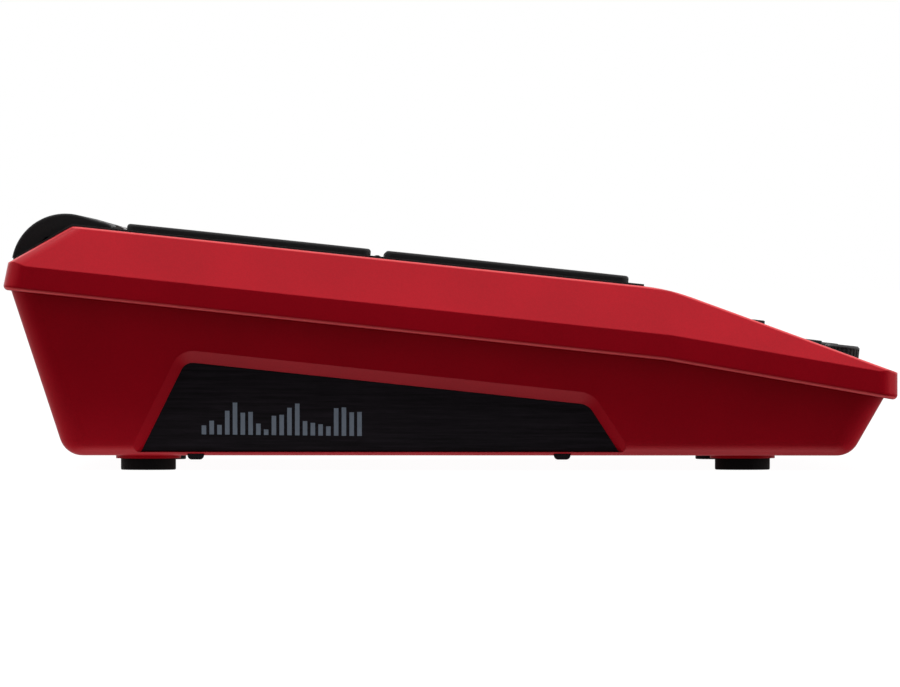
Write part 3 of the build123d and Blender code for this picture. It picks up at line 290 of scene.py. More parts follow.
def ribbon_grey():
    """Flat cable: its wires run along it, side by side."""
    colour = (0.33, 0.34, 0.36)
    paint = Paint("ribbon_grey", colour, 0.5)
    wave = paint.node("ShaderNodeTexWave", {
        "Vector": paint.place, "Scale": 125.0}, bands_direction="X").outputs["Fac"]
    paint.shade(wave, tint(colour, 0.6), tint(colour, 1.1))
    paint.bump(wave, 0.0001)
    return paint.made


def display_glass():
    """Smoked acrylic window, dark enough to hide the unlit display."""
    colour = (0.004, 0.0045, 0.006)
    paint = Paint("display_glass", colour, 0.06, Specular_IOR_Level=0.15)
    paint.shade(paint.noise(0.04), tint(colour, 0.8), tint(colour, 1.2))
    paint.vary_roughness(paint.noise(0.05), 0.04, 0.08)
    return paint.made


def display_dark():
    """Unlit display: near black and slightly uneven."""
    colour = (0.006, 0.007, 0.01)
    paint = Paint("display_dark", colour, 0.3, Specular_IOR_Level=0.12)
    paint.shade(paint.noise(0.02), tint(colour, 0.8), tint(colour, 1.3))
    paint.vary_roughness(paint.noise(0.03), 0.26, 0.34)
    return paint.made


def light_bar():
    """Smoked diffuser over unlit lamps."""
    colour = (0.10, 0.088, 0.086)
    paint = Paint("light_bar", colour, 0.45, Specular_IOR_Level=0.2)
    paint.shade(paint.noise(0.004, 2.0), tint(colour, 0.7), tint(colour, 1.3))
    paint.bump(paint.noise(0.0005), 0.00001)
    return paint.made


SLOT_MATERIALS = {
    "red_casing": red_casing(),
    "brushed_black": brushed_black(),
    "black_plastic": moulded("black_plastic", (0.0085, 0.008, 0.0088), 0.5),
    "panel_black": moulded("panel_black", (0.009, 0.0085, 0.0095), 0.44, depth=0.000008),
    "light_bar": light_bar(),
    "pad_rubber": pad_rubber(),
    "knob_black": moulded("knob_black", (0.011, 0.0105, 0.0115), 0.55, grain=0.0003),
    "button_rubber": moulded("button_rubber", (0.014, 0.0135, 0.0145), 0.6, depth=0.00001),
    "display_glass": display_glass(),
    "display_dark": display_dark(),
    "circuit_board": circuit_board(),
    "chip_black": moulded("chip_black", (0.012, 0.012, 0.013), 0.5, edge=0.0001),
    "switch_metal": metal("switch_metal", (0.55, 0.55, 0.56), 0.32),
    "socket_black": moulded("socket_black", (0.012, 0.012, 0.013), 0.42, edge=0.0002),
    "foam": foam(),
    "brass": metal("brass", (0.62, 0.44, 0.17), 0.3),
    "steel": metal("steel", (0.5, 0.5, 0.51), 0.34),
    "ribbon_grey": ribbon_grey(),
    "foot_rubber": moulded("foot_rubber", (0.0022, 0.0018, 0.002), 0.7, depth=0.00002, shine=0.1),
}


def ink(name, colour, roughness=0.5):
    """Screen-printed ink, a little uneven where it lies thin."""
    paint = Paint(name, colour, roughness, Specular_IOR_Level=0.3)
    paint.shade(paint.noise(0.0012, 3.0), tint(colour, 0.86), tint(colour, 1.1))
    paint.vary_roughness(paint.noise(0.003), roughness - 0.06, roughness + 0.08)
    paint.bump(paint.noise(0.0004), 0.000004)
    return paint.made


PRINTS = {
    "slate": ink("slate_print", (0.141, 0.168, 0.212)),
    "pale": ink("pale_print", (0.5, 0.5, 0.51)),
    "segment": ink("display_segment", (0.05, 0.06, 0.068), 0.3),
}


def dress_cad_nodes():
    for node in NODES.values():
        for i, old in enumerate(node.data.materials):
            node.data.materials[i] = SLOT_MATERIALS[old.name.split(".")[0]]


# --- meshes: small helpers ---------------------------------------------------------------
class Shape:
    """Points and faces gathered from simple closed forms in one local frame."""

    def __init__(self, turn=Matrix.Identity(3), origin=Vector((0, 0, 0))):
        self.turn = turn
        self.origin = origin
        self.points = []
        self.faces = []

    def loft(self, rings):
        """Skin over rings of equally many points, capped at both ends."""
        start, count = len(self.points), len(rings[0])
        for ring in rings:
            self.points += [self.origin + self.turn @ Vector(point) for point in ring]
        for i in range(len(rings) - 1):
            for j in range(count):
                a = start + i * count + j
                b = start + i * count + (j + 1) % count
                self.faces.append((a, b, b + count, a + count))
        last = start + (len(rings) - 1) * count
        self.faces.append(tuple(reversed(range(start, start + count))))
        self.faces.append(tuple(range(last, last + count)))

    def block(self, low, high, edge=0.0):
        """Box between two corners, with its top edges cut back by edge."""
        rings = [(low.x, high.x, low.y, high.y, low.z),
                 (low.x, high.x, low.y, high.y, high.z - edge)]
        if edge:
            rings.append((low.x + edge, high.x - edge, low.y + edge, high.y - edge, high.z))
        self.loft([[(a, c, z), (b, c, z), (b, d, z), (a, d, z)] for a, b, c, d, z in rings])

    def turned(self, centre, profile, count=48):
        """Lathe form about the third axis, from (radius, height) points, bottom first."""
        self.loft([circle(centre, radius, height, count) for radius, height in profile])

    def piece(self, name, slot, body="root", paint=None, sharp=32):
        """Blender object that rides on a body, smooth except across sharp edges."""
        mesh = bpy.data.meshes.new(name)
        mesh.from_pydata(self.points, [], self.faces)
        mesh.shade_smooth()
        mesh.set_sharp_from_angle(angle=radians(sharp))
        mesh.materials.append(paint or SLOT_MATERIALS[slot])
        made = bpy.data.objects.new(name, mesh)
        bpy.context.scene.collection.objects.link(made)
        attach(made, body)
        return made


def circle(centre, radius, height, count, phase=0.0):
    turns = [2 * pi * i / count + phase for i in range(count)]
    return [(centre.x + radius * cos(t), centre.y + radius * sin(t), height) for t in turns]


def rounded_ring(low, high, inset, radius, height, steps=6):
    """Rounded rectangle, drawn in from a box's outline by inset."""
    radius = max(radius - inset, 0.0002)
    ring = []
    for i, (x, y) in enumerate(((high.x, high.y), (low.x, high.y), (low.x, low.y),
                                (high.x, low.y))):
        corner_x = x + (-1 if x == high.x else 1) * (inset + radius)
        corner_y = y + (-1 if y == high.y else 1) * (inset + radius)
        for j in range(steps + 1):
            turn = (i + j / steps) * pi / 2
            ring.append((corner_x + radius * cos(turn), corner_y + radius * sin(turn), height))
    return ring


def quarter(radius, steps=6):
    """(inset, drop) points over a rounded edge, from its foot to its top."""
    turns = [pi / 2 * i / steps for i in range(steps + 1)]
    return [(radius * (1 - cos(t)), radius * (1 - sin(t))) for t in turns]


def plane_axes(normal):
    """Axes of a surface that slopes along the instrument: across, up the slope, outwards."""
    across = Vector((1, 0, 0))
    return Matrix((across, normal.cross(across), normal)).transposed()


SIDE_VIEW = Matrix(((0, 1, 0), (0, 0, 1), (1, 0, 0))).transposed()
REAR_VIEW = Matrix(((-1, 0, 0), (0, 0, 1), (0, 1, 0))).transposed()


def limits(points, turn):
    local = [turn.transposed() @ point for point in points]
    low = Vector([min(p[i] for p in local) for i in range(3)])
    high = Vector([max(p[i] for p in local) for i in range(3)])
    return low, high


def local_box(node, turn):
    """Lowest and highest corner of a CAD node along the given axes."""
    return limits([vertex.co for vertex in NODES[node].data.vertices], turn)


def islands(node, turn):
    """The same for each separate solid of a CAD node, from left to right."""
    made = bmesh.new()
    made.from_mesh(NODES[node].data)
    bmesh.ops.remove_doubles(made, verts=made.verts, dist=0.000002)
    left, boxes = set(made.verts), []
    while left:
        group, front = set(), [left.pop()]
        while front:
            vertex = front.pop()
            group.add(vertex)
            for edge in vertex.link_edges:
                other = edge.other_vert(vertex)
                if other in left:
                    left.discard(other)
                    front.append(other)
        boxes.append(limits([vertex.co for vertex in group], turn))
    made.free()
    return sorted(boxes, key=lambda box: tuple(round(c, 4) for c in (*box[0], *box[1])))


def facing(node, towards):
    """Normal of the widest flat part of a CAD node that faces roughly this way."""
    areas = {}
    for face in NODES[node].data.polygons:
        if face.normal.dot(towards) > 0.5:
            key = tuple(round(c, 3) for c in face.normal)
            areas[key] = areas.get(key, 0.0) + face.area
    return Vector(max(areas, key=areas.get)).normalized()


JOINTS = {joint["name"]: joint for joint in frame["record"]["behaviour"]["joints"]}
DECK = plane_axes(Vector(JOINTS["pad_5_press"]["axis"]).normalized())
PANEL = plane_axes(facing("control_panel", UP))
FLANGE = 1.5 * MM
PAD_EDGE = 1.2 * MM


# --- pads ------------------------------------------------------------------------------------
def build_flat_pad(pad):
    """Rubber slab with a flange below the deck, a rounded edge and a barely crowned top."""
    low, high = local_box(pad, DECK)
    side, corner, shoulder = FLANGE, 4.5 * MM, low.z + 1.45 * MM
    rings = [rounded_ring(low, high, 0, corner, low.z),
             rounded_ring(low, high, 0, corner, shoulder),
             rounded_ring(low, high, side, corner, shoulder)]
    crown = 0.12 * MM
    for inset, drop in quarter(PAD_EDGE):
        rings.append(rounded_ring(low, high, side + inset, corner, high.z - crown - drop))
    for i in range(1, 9):
        share = i / 8
        rings.append(rounded_ring(low, high, side + PAD_EDGE + share * 36 * MM,
                                  corner + share * 36 * MM, high.z - crown * (1 - share) ** 2))
    shape = Shape(DECK)
    shape.loft(rings)
    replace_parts(shape.piece(f"{pad}_rubber", "pad_rubber", pad), pad)


def hump_outline(box, inset):
    """Side outline of a shoulder pad, with its outer skin drawn in by inset."""
    low, high = box
    radius, skirt, slope = 20.15 * MM, 3.4 * MM, radians(16.0)
    drop = low.y - (high.y - radius)
    middle = Vector((high.x - sqrt(radius ** 2 - drop ** 2), high.y - radius))
    inner, outer = radius - skirt, radius - inset
    base, rest = low.y + 7.8 * MM, low.x + 24.2 * MM
    front = low.x + inset
    start, stop = pi / 2 + slope, atan2(drop, sqrt(outer ** 2 - drop ** 2))
    ramp = middle + outer * Vector((cos(start), sin(start)))
    nose = ramp.y - (ramp.x - front) * tan(slope)
    points = [(front, base)]
    points += [(front + 0.8 * MM * (1 - cos(t)), nose - 0.8 * MM * (1 - sin(t)))
               for t in (0, pi / 8, pi / 4, 3 * pi / 8)]
    points += [(front + (ramp.x - front) * k / 6, nose + (ramp.y - nose) * k / 6)
               for k in range(1, 6)]
    steps = 40
    for i in range(steps + 1):
        turn = start + (stop - start) * i / steps
        points.append((middle.x + outer * cos(turn), middle.y + outer * sin(turn)))
    points.append((middle.x + sqrt(inner ** 2 - drop ** 2), low.y))
    points.append((rest, base))
    return list(reversed(points))


def build_shoulder_pad(pad):
    """Half-round rubber pad with rounded ends."""
    box = local_box(pad, SIDE_VIEW)
    low, high = box
    ends = [(inset, drop) for inset, drop in quarter(0.9 * MM)]
    rings = [(low.z + drop, inset) for inset, drop in reversed(ends)]
    rings += [(high.z - drop, inset) for inset, drop in ends]
    shape = Shape(SIDE_VIEW)
    shape.loft([[(u, v, x) for u, v in hump_outline(box, inset)] for x, inset in rings])
    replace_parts(shape.piece(f"{pad}_rubber", "pad_rubber", pad), pad)


def build_light_bars():
    """Smoked lenses with a rounded top, notched between one lamp and the next."""
    axes = Matrix((DECK.col[1], DECK.col[2], DECK.col[0])).transposed()
    shape = Shape(axes)
    lamp, notch, depth = 6.0 * MM, 0.5 * MM, 0.22 * MM
    for low, high in islands("light_bars", axes):
        rear = high.x - low.x > 3 * MM
        front_top = high.y - (1.15 if rear else 0.35) * MM
        rear_top = high.y - (0 if rear else 0.35) * MM
        bulge = (0.28 if rear else 0.35) * MM
        count = round((high.z - low.z) / lamp)
        stations = [(low.z, 0.0)]
        for i in range(1, count):
            middle = low.z + (high.z - low.z) * i / count
            stations += [(middle - notch / 2, 0.0), (middle - notch / 4, depth),
                         (middle + notch / 4, depth), (middle + notch / 2, 0.0)]
        stations.append((high.z, 0.0))
        rings = []
        for x, sunk in stations:
            ring = [(low.x, low.y, x), (high.x, low.y, x)]
            for k in range(9):
                share = 1 - k / 8
                top = front_top + (rear_top - front_top) * share
                top += bulge * 4 * share * (1 - share) - sunk
                ring.append((low.x + (high.x - low.x) * share, min(top, high.y), x))
            rings.append(ring)
        shape.loft(rings)
    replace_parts(shape.piece("light_lenses", "light_bar"), "light_bars")


def build_cushions():
    """Foam pads below the rubber: a crowned block whose sides pull in a little."""
    shelf = Matrix.Identity(3)
    number = 0
    for low, high in islands("pad_cushions", shelf):
        number += 1
        sloped = high.y - low.y > 30 * MM
        axes = DECK if sloped else shelf
        if sloped:
            middle = (low + high) / 2
            spot = DECK.transposed() @ middle
            half, deep = Vector((36, 32, 0)) * MM, 2.0 * MM
            top = spot.z + deep / 2
        else:
            spot = (low + high) / 2
            half, deep = (high - low) / 2, high.z - low.z
            top = high.z
        start, stop = spot - half, spot + half
        rings = []
        for i in range(9):
            share = i / 8
            pull = 0.55 * MM * 4 * share * (1 - share)
            rings.append(rounded_ring(start, stop, pull, 2.5 * MM, top - deep * (1 - share)
                                      - (0.25 * MM if i == 8 else 0)))
        for i in range(1, 6):
            share = i / 5
            rings.append(rounded_ring(start, stop, 9 * MM * share, 2.5 * MM + 6 * MM * share,
                                      top - 0.25 * MM * (1 - share) ** 2))
        shape = Shape(axes)
        shape.loft(rings)
        cushion = shape.piece(f"foam_cushion_{number}", "foam")
        if number == 1:
            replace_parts(cushion, "pad_cushions")


# --- casing details -----------------------------------------------------------------------------
def build_feet():
    """Turned rubber feet: a hollow middle, a ring groove and a rounded edge."""
    shape = Shape()
    for low, high in islands("rubber_feet", Matrix.Identity(3)):
        radius = (high.x - low.x) / 2
        inward = [(0.5, 0.8), (4.0, 0.8), (4.4, 0.0), (6.2, 0.0), (6.4, 0.35), (6.9, 0.35),
                  (7.1, 0.0)]
        profile = [(r * MM, low.z + z * MM) for r, z in inward]
        profile += [(radius - inset, low.z + drop) for inset, drop in
                    reversed(quarter(0.5 * MM))]
        profile.append((radius, high.z))
        shape.turned((low + high) / 2, profile, 64)
    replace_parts(shape.piece("feet", "foot_rubber"), "rubber_feet")
def build_level_bars(side):
    """Row of bars like a level meter, printed on a side inlay; it bears no lettering."""
    node = f"side_inlay_{side}"
    outwards = facing(node, Vector((1 if side == "right" else -1, 0, 0)))
    along = Vector((0, 1, 0)) - outwards * outwards.y
    along.normalize()
    rise = outwards.cross(along) if side == "right" else along.cross(outwards)
    axes = Matrix((along, rise, along.cross(rise))).transposed()
    low, high = local_box(node, axes)
    face = high.z if side == "right" else low.z
    shape = Shape(axes)
    count, pitch, width, tall = 21, 2.9 * MM, 1.7 * MM, 13.5 * MM
    first, foot = 28.0 * MM, low.y + 10.5 * MM
    for i in range(count):
        swing = 0.55 + 0.3 * sin(i * 0.9) + 0.15 * cos(i * 2.3)
        start = Vector((first + i * pitch, foot, face - 0.01 * MM))
        stop = Vector((first + i * pitch + width, foot + tall * max(swing, 0.16),
                       face + 0.05 * MM))
        if side == "left":
            start.z, stop.z = face - 0.05 * MM, face + 0.01 * MM
        shape.block(start, stop)
    shape.piece(f"level_print_{side}", None, paint=PRINTS["slate"])


# --- control panel -------------------------------------------------------------------------------
def strip(shape, start, stop, width, face, thick=0.04 * MM):
    """Printed line between two points of a surface."""
    along = Vector((stop[0] - start[0], stop[1] - start[1], 0)).normalized()
    aside = Vector((-along.y, along.x, 0)) * width / 2
    corners = [Vector((*start, 0)) - aside, Vector((*stop, 0)) - aside,
               Vector((*stop, 0)) + aside, Vector((*start, 0)) + aside]
    shape.loft([[(c.x, c.y, height) for c in corners]
                for height in (face - thick, face + thick)])


def arc_line(shape, centre, radius, start, stop, width, face, steps=24, thick=0.04 * MM):
    """Printed arc, its angles in degrees."""
    turns = [radians(start + (stop - start) * i / steps) for i in range(steps + 1)]
    rings = []
    for height in (face - thick, face + thick):
        outer = [(centre.x + (radius + width / 2) * cos(t),
                  centre.y + (radius + width / 2) * sin(t), height) for t in turns]
        inner = [(centre.x + (radius - width / 2) * cos(t),
                  centre.y + (radius - width / 2) * sin(t), height) for t in reversed(turns)]
        rings.append(outer + inner)
    shape.loft(rings)


def dot(shape, centre, radius, face, thick=0.04 * MM):
    shape.turned(centre, [(radius, face - thick), (radius, face + thick)], 20)


def middle_of(node, turn):
    low, high = local_box(node, turn)
    return (low + high) / 2


def build_panel_print():
    """Dial marks round the knobs, and lines that gather the keys into groups."""
    face = local_box("control_panel", PANEL)[1].z
    shape = Shape(PANEL)
    fine, wide = 0.3 * MM, 0.5 * MM
    for knob in KNOBS:
        centre = knob_place(knob)
        arc_line(shape, centre, 8.4 * MM, -60, 240, fine, face)
        for i in range(11):
            turn = radians(240 - 30 * i)
            reach = Vector((cos(turn), sin(turn)))
            ends = [(centre.x + reach.x * r, centre.y + reach.y * r)
                    for r in (9.1 * MM, (10.2 if i % 5 else 11.0) * MM)]
            strip(shape, *ends, fine if i % 5 else wide, face)
    for keys in (EFFECT_KEYS, MENU_KEYS):
        places = [middle_of(key, PANEL) for key in keys]
        top = max(local_box(key, PANEL)[1].y for key in keys) + 4.4 * MM
        left, right = places[0].x - 5 * MM, places[-1].x + 5 * MM
        strip(shape, (left, top), (right, top), wide, face)
        for x in (left, right):
            strip(shape, (x, top), (x, top - 2 * MM), fine, face)
    for key in FUNCTION_KEYS:
        place = middle_of(key, PANEL)
        top = local_box(key, PANEL)[1].y + 2.6 * MM
        strip(shape, (place.x - 7 * MM, top), (place.x + 7 * MM, top), fine, face)
    for key in VALUE_KEYS:
        place = middle_of(key, PANEL)
        top = local_box(key, PANEL)[1].y + 3.2 * MM
        strip(shape, (place.x - 2 * MM, top), (place.x + 2 * MM, top), wide, face)
        if key == "plus_button":
            strip(shape, (place.x, top - 2 * MM), (place.x, top + 2 * MM), wide, face)
    shape.piece("panel_print", None, paint=PRINTS["pale"])


def knob_place(knob):
    """Where a knob's axis comes through the control panel, in the panel's own axes."""
    low, high = local_box(knob, DECK)
    top = DECK @ Vector(((low.x + high.x) / 2, (low.y + high.y) / 2, high.z))
    axis = DECK.col[2]
    face = local_box("control_panel", PANEL)[1].z
    normal = PANEL.col[2]
    reach = (top.dot(normal) - face) / axis.dot(normal)
    return PANEL.transposed() @ (top - axis * reach)


def build_panel_trim():
    """Raised bezel round the display window."""
    low, high = local_box("display_lens", PANEL)
    shape = Shape(PANEL)
    inner, outer, top = -0.15 * MM, -1.9 * MM, high.z + 0.55 * MM
    rings = [rounded_ring(low, high, outer, 1.6 * MM, high.z - 0.1 * MM),
             rounded_ring(low, high, outer, 1.6 * MM, top - 0.3 * MM),
             rounded_ring(low, high, outer + 0.3 * MM, 1.3 * MM, top),
             rounded_ring(low, high, inner - 0.3 * MM, 0.6 * MM, top),
             rounded_ring(low, high, inner, 0.5 * MM, top - 0.35 * MM),
             rounded_ring(low, high, inner, 0.5 * MM, high.z - 0.1 * MM)]
    band(shape, rings)
    shape.piece("display_bezel", "panel_black")


def band(shape, rings):
    """Skin over rings that closes on its first ring, as round a frame."""
    start, count, total = len(shape.points), len(rings[0]), len(rings)
    for ring in rings:
        shape.points += [shape.origin + shape.turn @ Vector(point) for point in ring]
    for i in range(total):
        for j in range(count):
            a, b = start + i * count + j, start + i * count + (j + 1) % count
            c = start + (i + 1) % total * count + (j + 1) % count
            d = start + (i + 1) % total * count + j
            shape.faces.append((a, b, c, d))


def build_knob_pointers():
    """Pale insert in each knob's pointer groove."""
    for knob in KNOBS:
        low, high = local_box(knob, DECK)
        centre = (low + high) / 2
        shape = Shape(DECK)
        shape.block(Vector((centre.x - 0.47 * MM, centre.y + 1.4 * MM, high.z - 0.52 * MM)),
                    Vector((centre.x + 0.47 * MM, centre.y + 4.9 * MM, high.z - 0.12 * MM)),
                    0.12 * MM)
        shape.piece(f"{knob}_pointer", None, knob, PRINTS["pale"])


def build_key_marks():
    """Small printed sign on every key: rings, lines, dots, arrows, plus and minus."""
    for key in EFFECT_KEYS + MENU_KEYS + FUNCTION_KEYS + VALUE_KEYS:
        low, high = local_box(key, DECK)
        spot, face = (low + high) / 2, high.z
        shape = Shape(DECK)
        size, line = 1.3 * MM, 0.35 * MM
        x, y = spot.x, (high.y + low.y) / 2
        if key in EFFECT_KEYS:
            arc_line(shape, Vector((x, y)), size, 0, 360, line, face)
        elif key in FUNCTION_KEYS:
            strip(shape, (x - 2 * size, y), (x + 2 * size, y), line, face)
        elif key in VALUE_KEYS:
            strip(shape, (x - size, y), (x + size, y), line, face)
            if key == "plus_button":
                strip(shape, (x, y - size), (x, y + size), line, face)
        elif key == "enter_button":
            dot(shape, Vector((x, y)), size * 0.7, face)
        else:
            turn = 1 if key == "menu_button" else -1
            strip(shape, (x - turn * size * 0.6, y - size), (x + turn * size * 0.6, y), line,
                  face)
            strip(shape, (x + turn * size * 0.6, y), (x - turn * size * 0.6, y + size), line,
                  face)
        shape.piece(f"{key}_mark", None, key, PRINTS["pale"])


def build_display_marks():
    """Faint segments, a three by three grid and level bars, drawn on the window's face."""
    low, high = local_box("display_lens", PANEL)
    face = high.z + 0.03 * MM
    shape = Shape(PANEL)
    middle = (low + high) / 2
    tile, gap = 6.2 * MM, 1.2 * MM
    for column in range(3):
        for row in range(3):
            x = middle.x - 33 * MM + column * (tile + gap)
            y = middle.y - 10.2 * MM + row * (tile + gap)
            shape.block(Vector((x, y, face - 0.04 * MM)), Vector((x + tile, y + tile, face)))
    for i in range(24):
        height = (3 + 7 * abs(sin(i * 0.55)) * (1 - 0.02 * i)) * MM
        x = middle.x - 6 * MM + i * 1.65 * MM
        shape.block(Vector((x, middle.y - 9 * MM, face - 0.04 * MM)),
                    Vector((x + 1.0 * MM, middle.y - 9 * MM + height, face)))
    for i in range(3):
        y = middle.y + (4 + 3 * i) * MM
        shape.block(Vector((middle.x - 6 * MM, y, face - 0.04 * MM)),
                    Vector((middle.x + (30 - 9 * i) * MM, y + 1.3 * MM, face)))
    shape.piece("display_segments", None, paint=PRINTS["segment"])


# --- rear ------------------------------------------------------------------------------
def build_jack_nuts():
    """Plated hexagon nut and washer on the collar of each jack socket."""
    plate = local_box("rear_jack_plate", REAR_VIEW)[1].z
    shape = Shape(REAR_VIEW)
    bores = [m for m in frame["record"]["mounts"] if m["kind"] == "bore"]
    hexagon = 7.1 * MM / cos(pi / 6)
    for bore in bores:
        centre = REAR_VIEW.transposed() @ Vector(mount_place(bore))
        washer = [circle(centre, r * MM, plate + z * MM, 48)
                  for r, z in ((5.25, 0.02), (8.6, 0.02), (8.6, 0.4), (8.4, 0.5), (5.25, 0.5))]
        band(shape, washer)
        nut = [circle(centre, 5.22 * MM, plate + 0.5 * MM, 6),
               circle(centre, hexagon, plate + 0.5 * MM, 6),
               circle(centre, hexagon, plate + 1.85 * MM, 6),
               circle(centre, hexagon * 0.94, plate + 2.15 * MM, 6),
               circle(centre, 5.22 * MM, plate + 2.15 * MM, 6)]
        band(shape, nut)
    shape.piece("jack_nuts", "switch_metal")


def mount_place(mount):
    return mount.get("pos") or mount.get("pos_m")


def build_plate_screws():
    """Pan heads along the rear plate, with a shallow dip in the middle."""
    low, high = local_box("rear_jack_plate", REAR_VIEW)
    shape = Shape(REAR_VIEW)
    radius, thick = 2.6 * MM, 1.3 * MM
    span = high.x - low.x
    for share in (0.02, 0.27, 0.52, 0.735, 0.98):
        for y in (low.y + 4 * MM, high.y - 4 * MM):
            centre = Vector((low.x + span * share, y, 0))
            if abs(y - high.y) < 5 * MM and share in (0.02, 0.98) or share not in (0.02, 0.98):
                profile = [(radius, high.z - 0.05 * MM)]
                profile += [(radius - thick * a, high.z + thick * b) for a, b in
                            ((0.0, 0.35), (0.15, 0.7), (0.45, 0.93), (0.8, 1.0), (1.4, 1.0))]
                profile.append((0.55 * MM, high.z + thick * 0.45))
                shape.turned(centre, profile, 28)
    shape.piece("plate_screws", "steel")


def build_rear_print():
    """Lines, rings and dots over the sockets."""
    high = local_box("rear_jack_plate", REAR_VIEW)[1]
    face = high.z
    shape = Shape(REAR_VIEW)
    fine = 0.35 * MM
    bores = sorted((REAR_VIEW.transposed() @ Vector(mount_place(m))
                    for m in frame["record"]["mounts"] if m["kind"] == "bore"),
                   key=lambda place: place.x)
    for i, place in enumerate(bores):
        y = place.y + 10.4 * MM
        arc_line(shape, Vector((place.x, y + 1.2 * MM)), 1.1 * MM, 0, 360, fine, face)
        for k in range(i % 3 + 1):
            dot(shape, Vector((place.x + (k - i % 3 / 2) * 1.5 * MM, y - 1.2 * MM)),
                0.3 * MM, face)
    for a, b in ((1, 2), (3, 4), (5, 6)):
        y = bores[a].y - 10.6 * MM
        left, right = bores[a].x - 3 * MM, bores[b].x + 3 * MM
        strip(shape, (left, y), (right, y), fine, face)
        for x in (left, right):
            strip(shape, (x, y), (x, y + 1.4 * MM), fine, face)
    for solid in ("midi_sockets", "usb_sockets"):
        for start, stop in islands(solid, REAR_VIEW):
            middle, top = (start.x + stop.x) / 2, max(start.y, stop.y) + 3.0 * MM
            if top < high.y - 1 * MM:
                strip(shape, (middle - 3 * MM, top), (middle + 3 * MM, top), fine, face)
    shape.piece("rear_print", None, paint=PRINTS["pale"])


def rocker_face(lowest, highest):
    """Middle and normal of the rocker's face whose normal's Z lies between two limits."""
    faces = [p for p in NODES["power_rocker"].data.polygons
             if p.normal.y > 0.9 and lowest < p.normal.z < highest]
    area = sum(p.area for p in faces)
    middle = sum((p.center * p.area for p in faces), Vector()) / area
    return middle, sum((p.normal * p.area for p in faces), Vector()).normalized()


def build_rocker_signs():
    """A line and a ring, moulded on the two ends of the power rocker."""
    for name, limits_z in (("on", (-0.4, -0.15)), ("off", (-0.05, 0.05))):
        middle, normal = rocker_face(*limits_z)
        across = Vector((-1, 0, 0))
        axes = Matrix((across, normal.cross(across), normal)).transposed()
        spot = axes.transposed() @ middle
        shape = Shape(axes)
        if name == "off":
            arc_line(shape, Vector((spot.x, spot.y)), 1.2 * MM, 0, 360, 0.4 * MM, spot.z)
        else:
            strip(shape, (spot.x, spot.y - 1.3 * MM), (spot.x, spot.y + 1.3 * MM),
                  0.45 * MM, spot.z)
        shape.piece(f"rocker_{name}_sign", None, "power_rocker", PRINTS["pale"])


# --- stage ------------------------------------------------------------------------------
def ray_blend(nodes, links, lit, seen):
    """What lights the object, or what the camera sees, whichever the ray asks for."""
    path = nodes.new("ShaderNodeLightPath")
    blend = nodes.new("ShaderNodeMix")
    links.new(path.outputs["Is Camera Ray"], blend.inputs["Factor"])
    links.new(lit, blend.inputs["A"])
    blend.inputs["B"].default_value = seen
    return blend.outputs["Result"]


def across_level(nodes, links, place, start, stop, near, far):
    """Brightness that goes from near to far with the distance out to the left."""
    axes = nodes.new("ShaderNodeSeparateXYZ")
    links.new(place, axes.inputs[0])
    across = nodes.new("ShaderNodeMath")
    across.operation = "MULTIPLY"
    across.inputs[1].default_value = -1.0
    links.new(axes.outputs[0], across.inputs[0])
    level = nodes.new("ShaderNodeMapRange")
    level.interpolation_type = "SMOOTHSTEP"
    links.new(across.outputs[0], level.inputs["Value"])
    for name, value in (("From Min", start), ("From Max", stop), ("To Min", near),
                        ("To Max", far)):
        level.inputs[name].default_value = value
    return level.outputs[0], axes


def build_floor():
    """Plain pale floor, far wider than the view, that glows under and behind the object."""
    half = 60.0
    mesh = bpy.data.meshes.new("floor")
    corners = [(-half, -half, 0), (half, -half, 0), (half, half, 0), (-half, half, 0)]
    mesh.from_pydata(corners, [], [(0, 1, 2, 3)])
    floor = bpy.data.objects.new("floor", mesh)
    bpy.context.scene.collection.objects.link(floor)
    paint = Paint("floor", (0.06, 0.06, 0.06), 1.0, Specular_IOR_Level=0.0,
                  Emission_Color=(1, 1, 1, 1))
    paint.shade(paint.noise(0.4, 3.0), (0.058, 0.058, 0.058), (0.062, 0.062, 0.062))
    nodes, links = paint.tree.nodes, paint.tree.links
    edge = cad_box[1].x
    level, axes = across_level(nodes, links, paint.place, edge - 0.015, edge + 0.025, 1.0, 0.03)
    front = nodes.new("ShaderNodeMapRange")
    links.new(axes.outputs[1], front.inputs["Value"])
    for name, value in (("From Min", -0.17), ("From Max", 0.05), ("To Min", 0.2),
                        ("To Max", 0.45)):
        front.inputs[name].default_value = value
    glow = nodes.new("ShaderNodeMath")
    glow.operation = "MULTIPLY"
    links.new(level, glow.inputs[0])
    links.new(front.outputs[0], glow.inputs[1])
    links.new(ray_blend(nodes, links, glow.outputs[0], 0.97),
              paint.shader.inputs["Emission Strength"])
    mesh.materials.append(paint.made)
    floor.visible_shadow = False


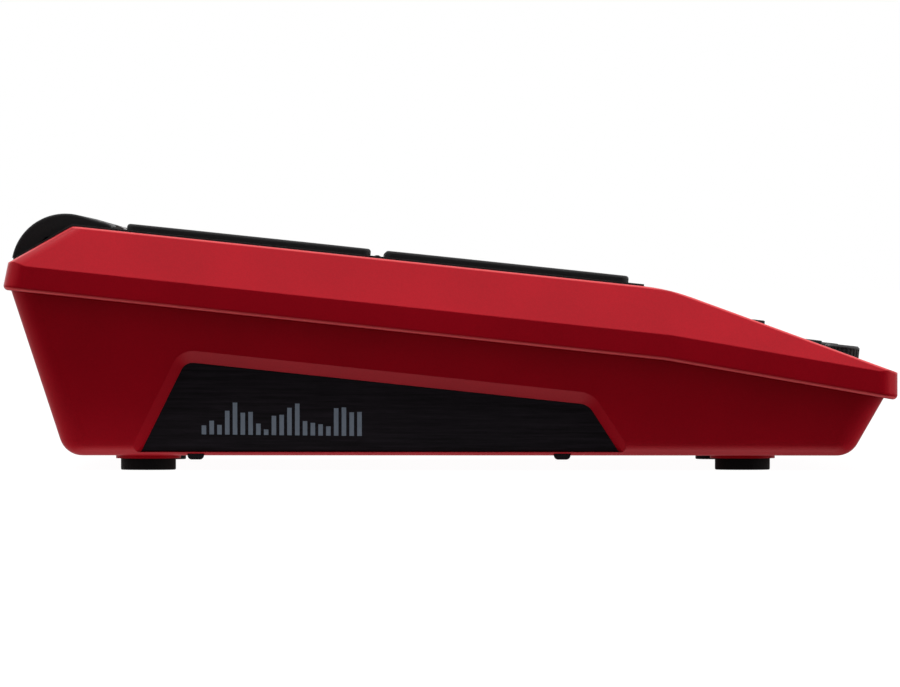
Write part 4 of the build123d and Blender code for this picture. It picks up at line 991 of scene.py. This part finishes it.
def build_world():
    """White surround, dark beyond the left side of the object."""
    world = bpy.data.worlds.new("surround")
    bpy.context.scene.world = world
    world.use_nodes = True
    nodes, links = world.node_tree.nodes, world.node_tree.links
    background = nodes["Background"]
    place = nodes.new("ShaderNodeTexCoord").outputs["Generated"]
    level, axes = across_level(nodes, links, place, 0.5, 0.8, 1.0, 0.03)
    height = nodes.new("ShaderNodeMapRange")
    links.new(axes.outputs[2], height.inputs["Value"])
    height.inputs["To Min"].default_value = 1.8
    height.inputs["To Max"].default_value = 1.0
    strength = nodes.new("ShaderNodeMath")
    strength.operation = "MULTIPLY"
    links.new(level, strength.inputs[0])
    links.new(height.outputs[0], strength.inputs[1])
    background.inputs["Color"].default_value = (1, 1, 1, 1)
    links.new(ray_blend(nodes, links, strength.outputs[0], 1.0),
              background.inputs["Strength"])


def sun(name, aim, energy, angle):
    """Soft light from far away, shining along aim."""
    data = bpy.data.lights.new(name, "SUN")
    data.energy = energy
    data.angle = radians(angle)
    lamp = bpy.data.objects.new(name, data)
    lamp.rotation_euler = Vector(aim).to_track_quat("-Z", "Y").to_euler()
    bpy.context.scene.collection.objects.link(lamp)


def build_lights():
    """A wide overhead light, the pale table's glow, and soft light on front and sides."""
    sun("overhead", (0, 0, -1), 2.0, 80)
    sun("table_glow", (-0.25, 0, 1), 1.7, 40)
    sun("front_fill", (0.1, 1, -0.1), 0.9, 40)
    sun("side_fill", (1, 0, 0.2), 0.3, 60)


def build_camera():
    """Long lens level with the left side of the object."""
    side = cad_box[0].x
    data = bpy.data.cameras.new("camera")
    data.sensor_width = 36.0
    data.lens = 517.4
    data.clip_start, data.clip_end = 0.1, 200.0
    camera = bpy.data.objects.new("camera", data)
    camera.location = (side - 4.8, 0.0336, 0.072)
    target = Vector((side, 0.00024, 0.0474))
    camera.rotation_euler = (target - camera.location).to_track_quat("-Z", "Y").to_euler()
    bpy.context.scene.collection.objects.link(camera)
    bpy.context.scene.camera = camera


dress_cad_nodes()
for pad in PADS[:3]:
    build_shoulder_pad(pad)
for pad in PADS[3:]:
    build_flat_pad(pad)
build_light_bars()
build_cushions()
build_feet()
for side in ("left", "right"):
    build_level_bars(side)
build_panel_print()
build_panel_trim()
build_knob_pointers()
build_key_marks()
build_display_marks()
build_jack_nuts()
build_plate_screws()
build_rear_print()
build_rocker_signs()
build_floor()
build_world()
build_lights()
build_camera()
bpy.context.scene.view_settings.view_transform = "Standard"
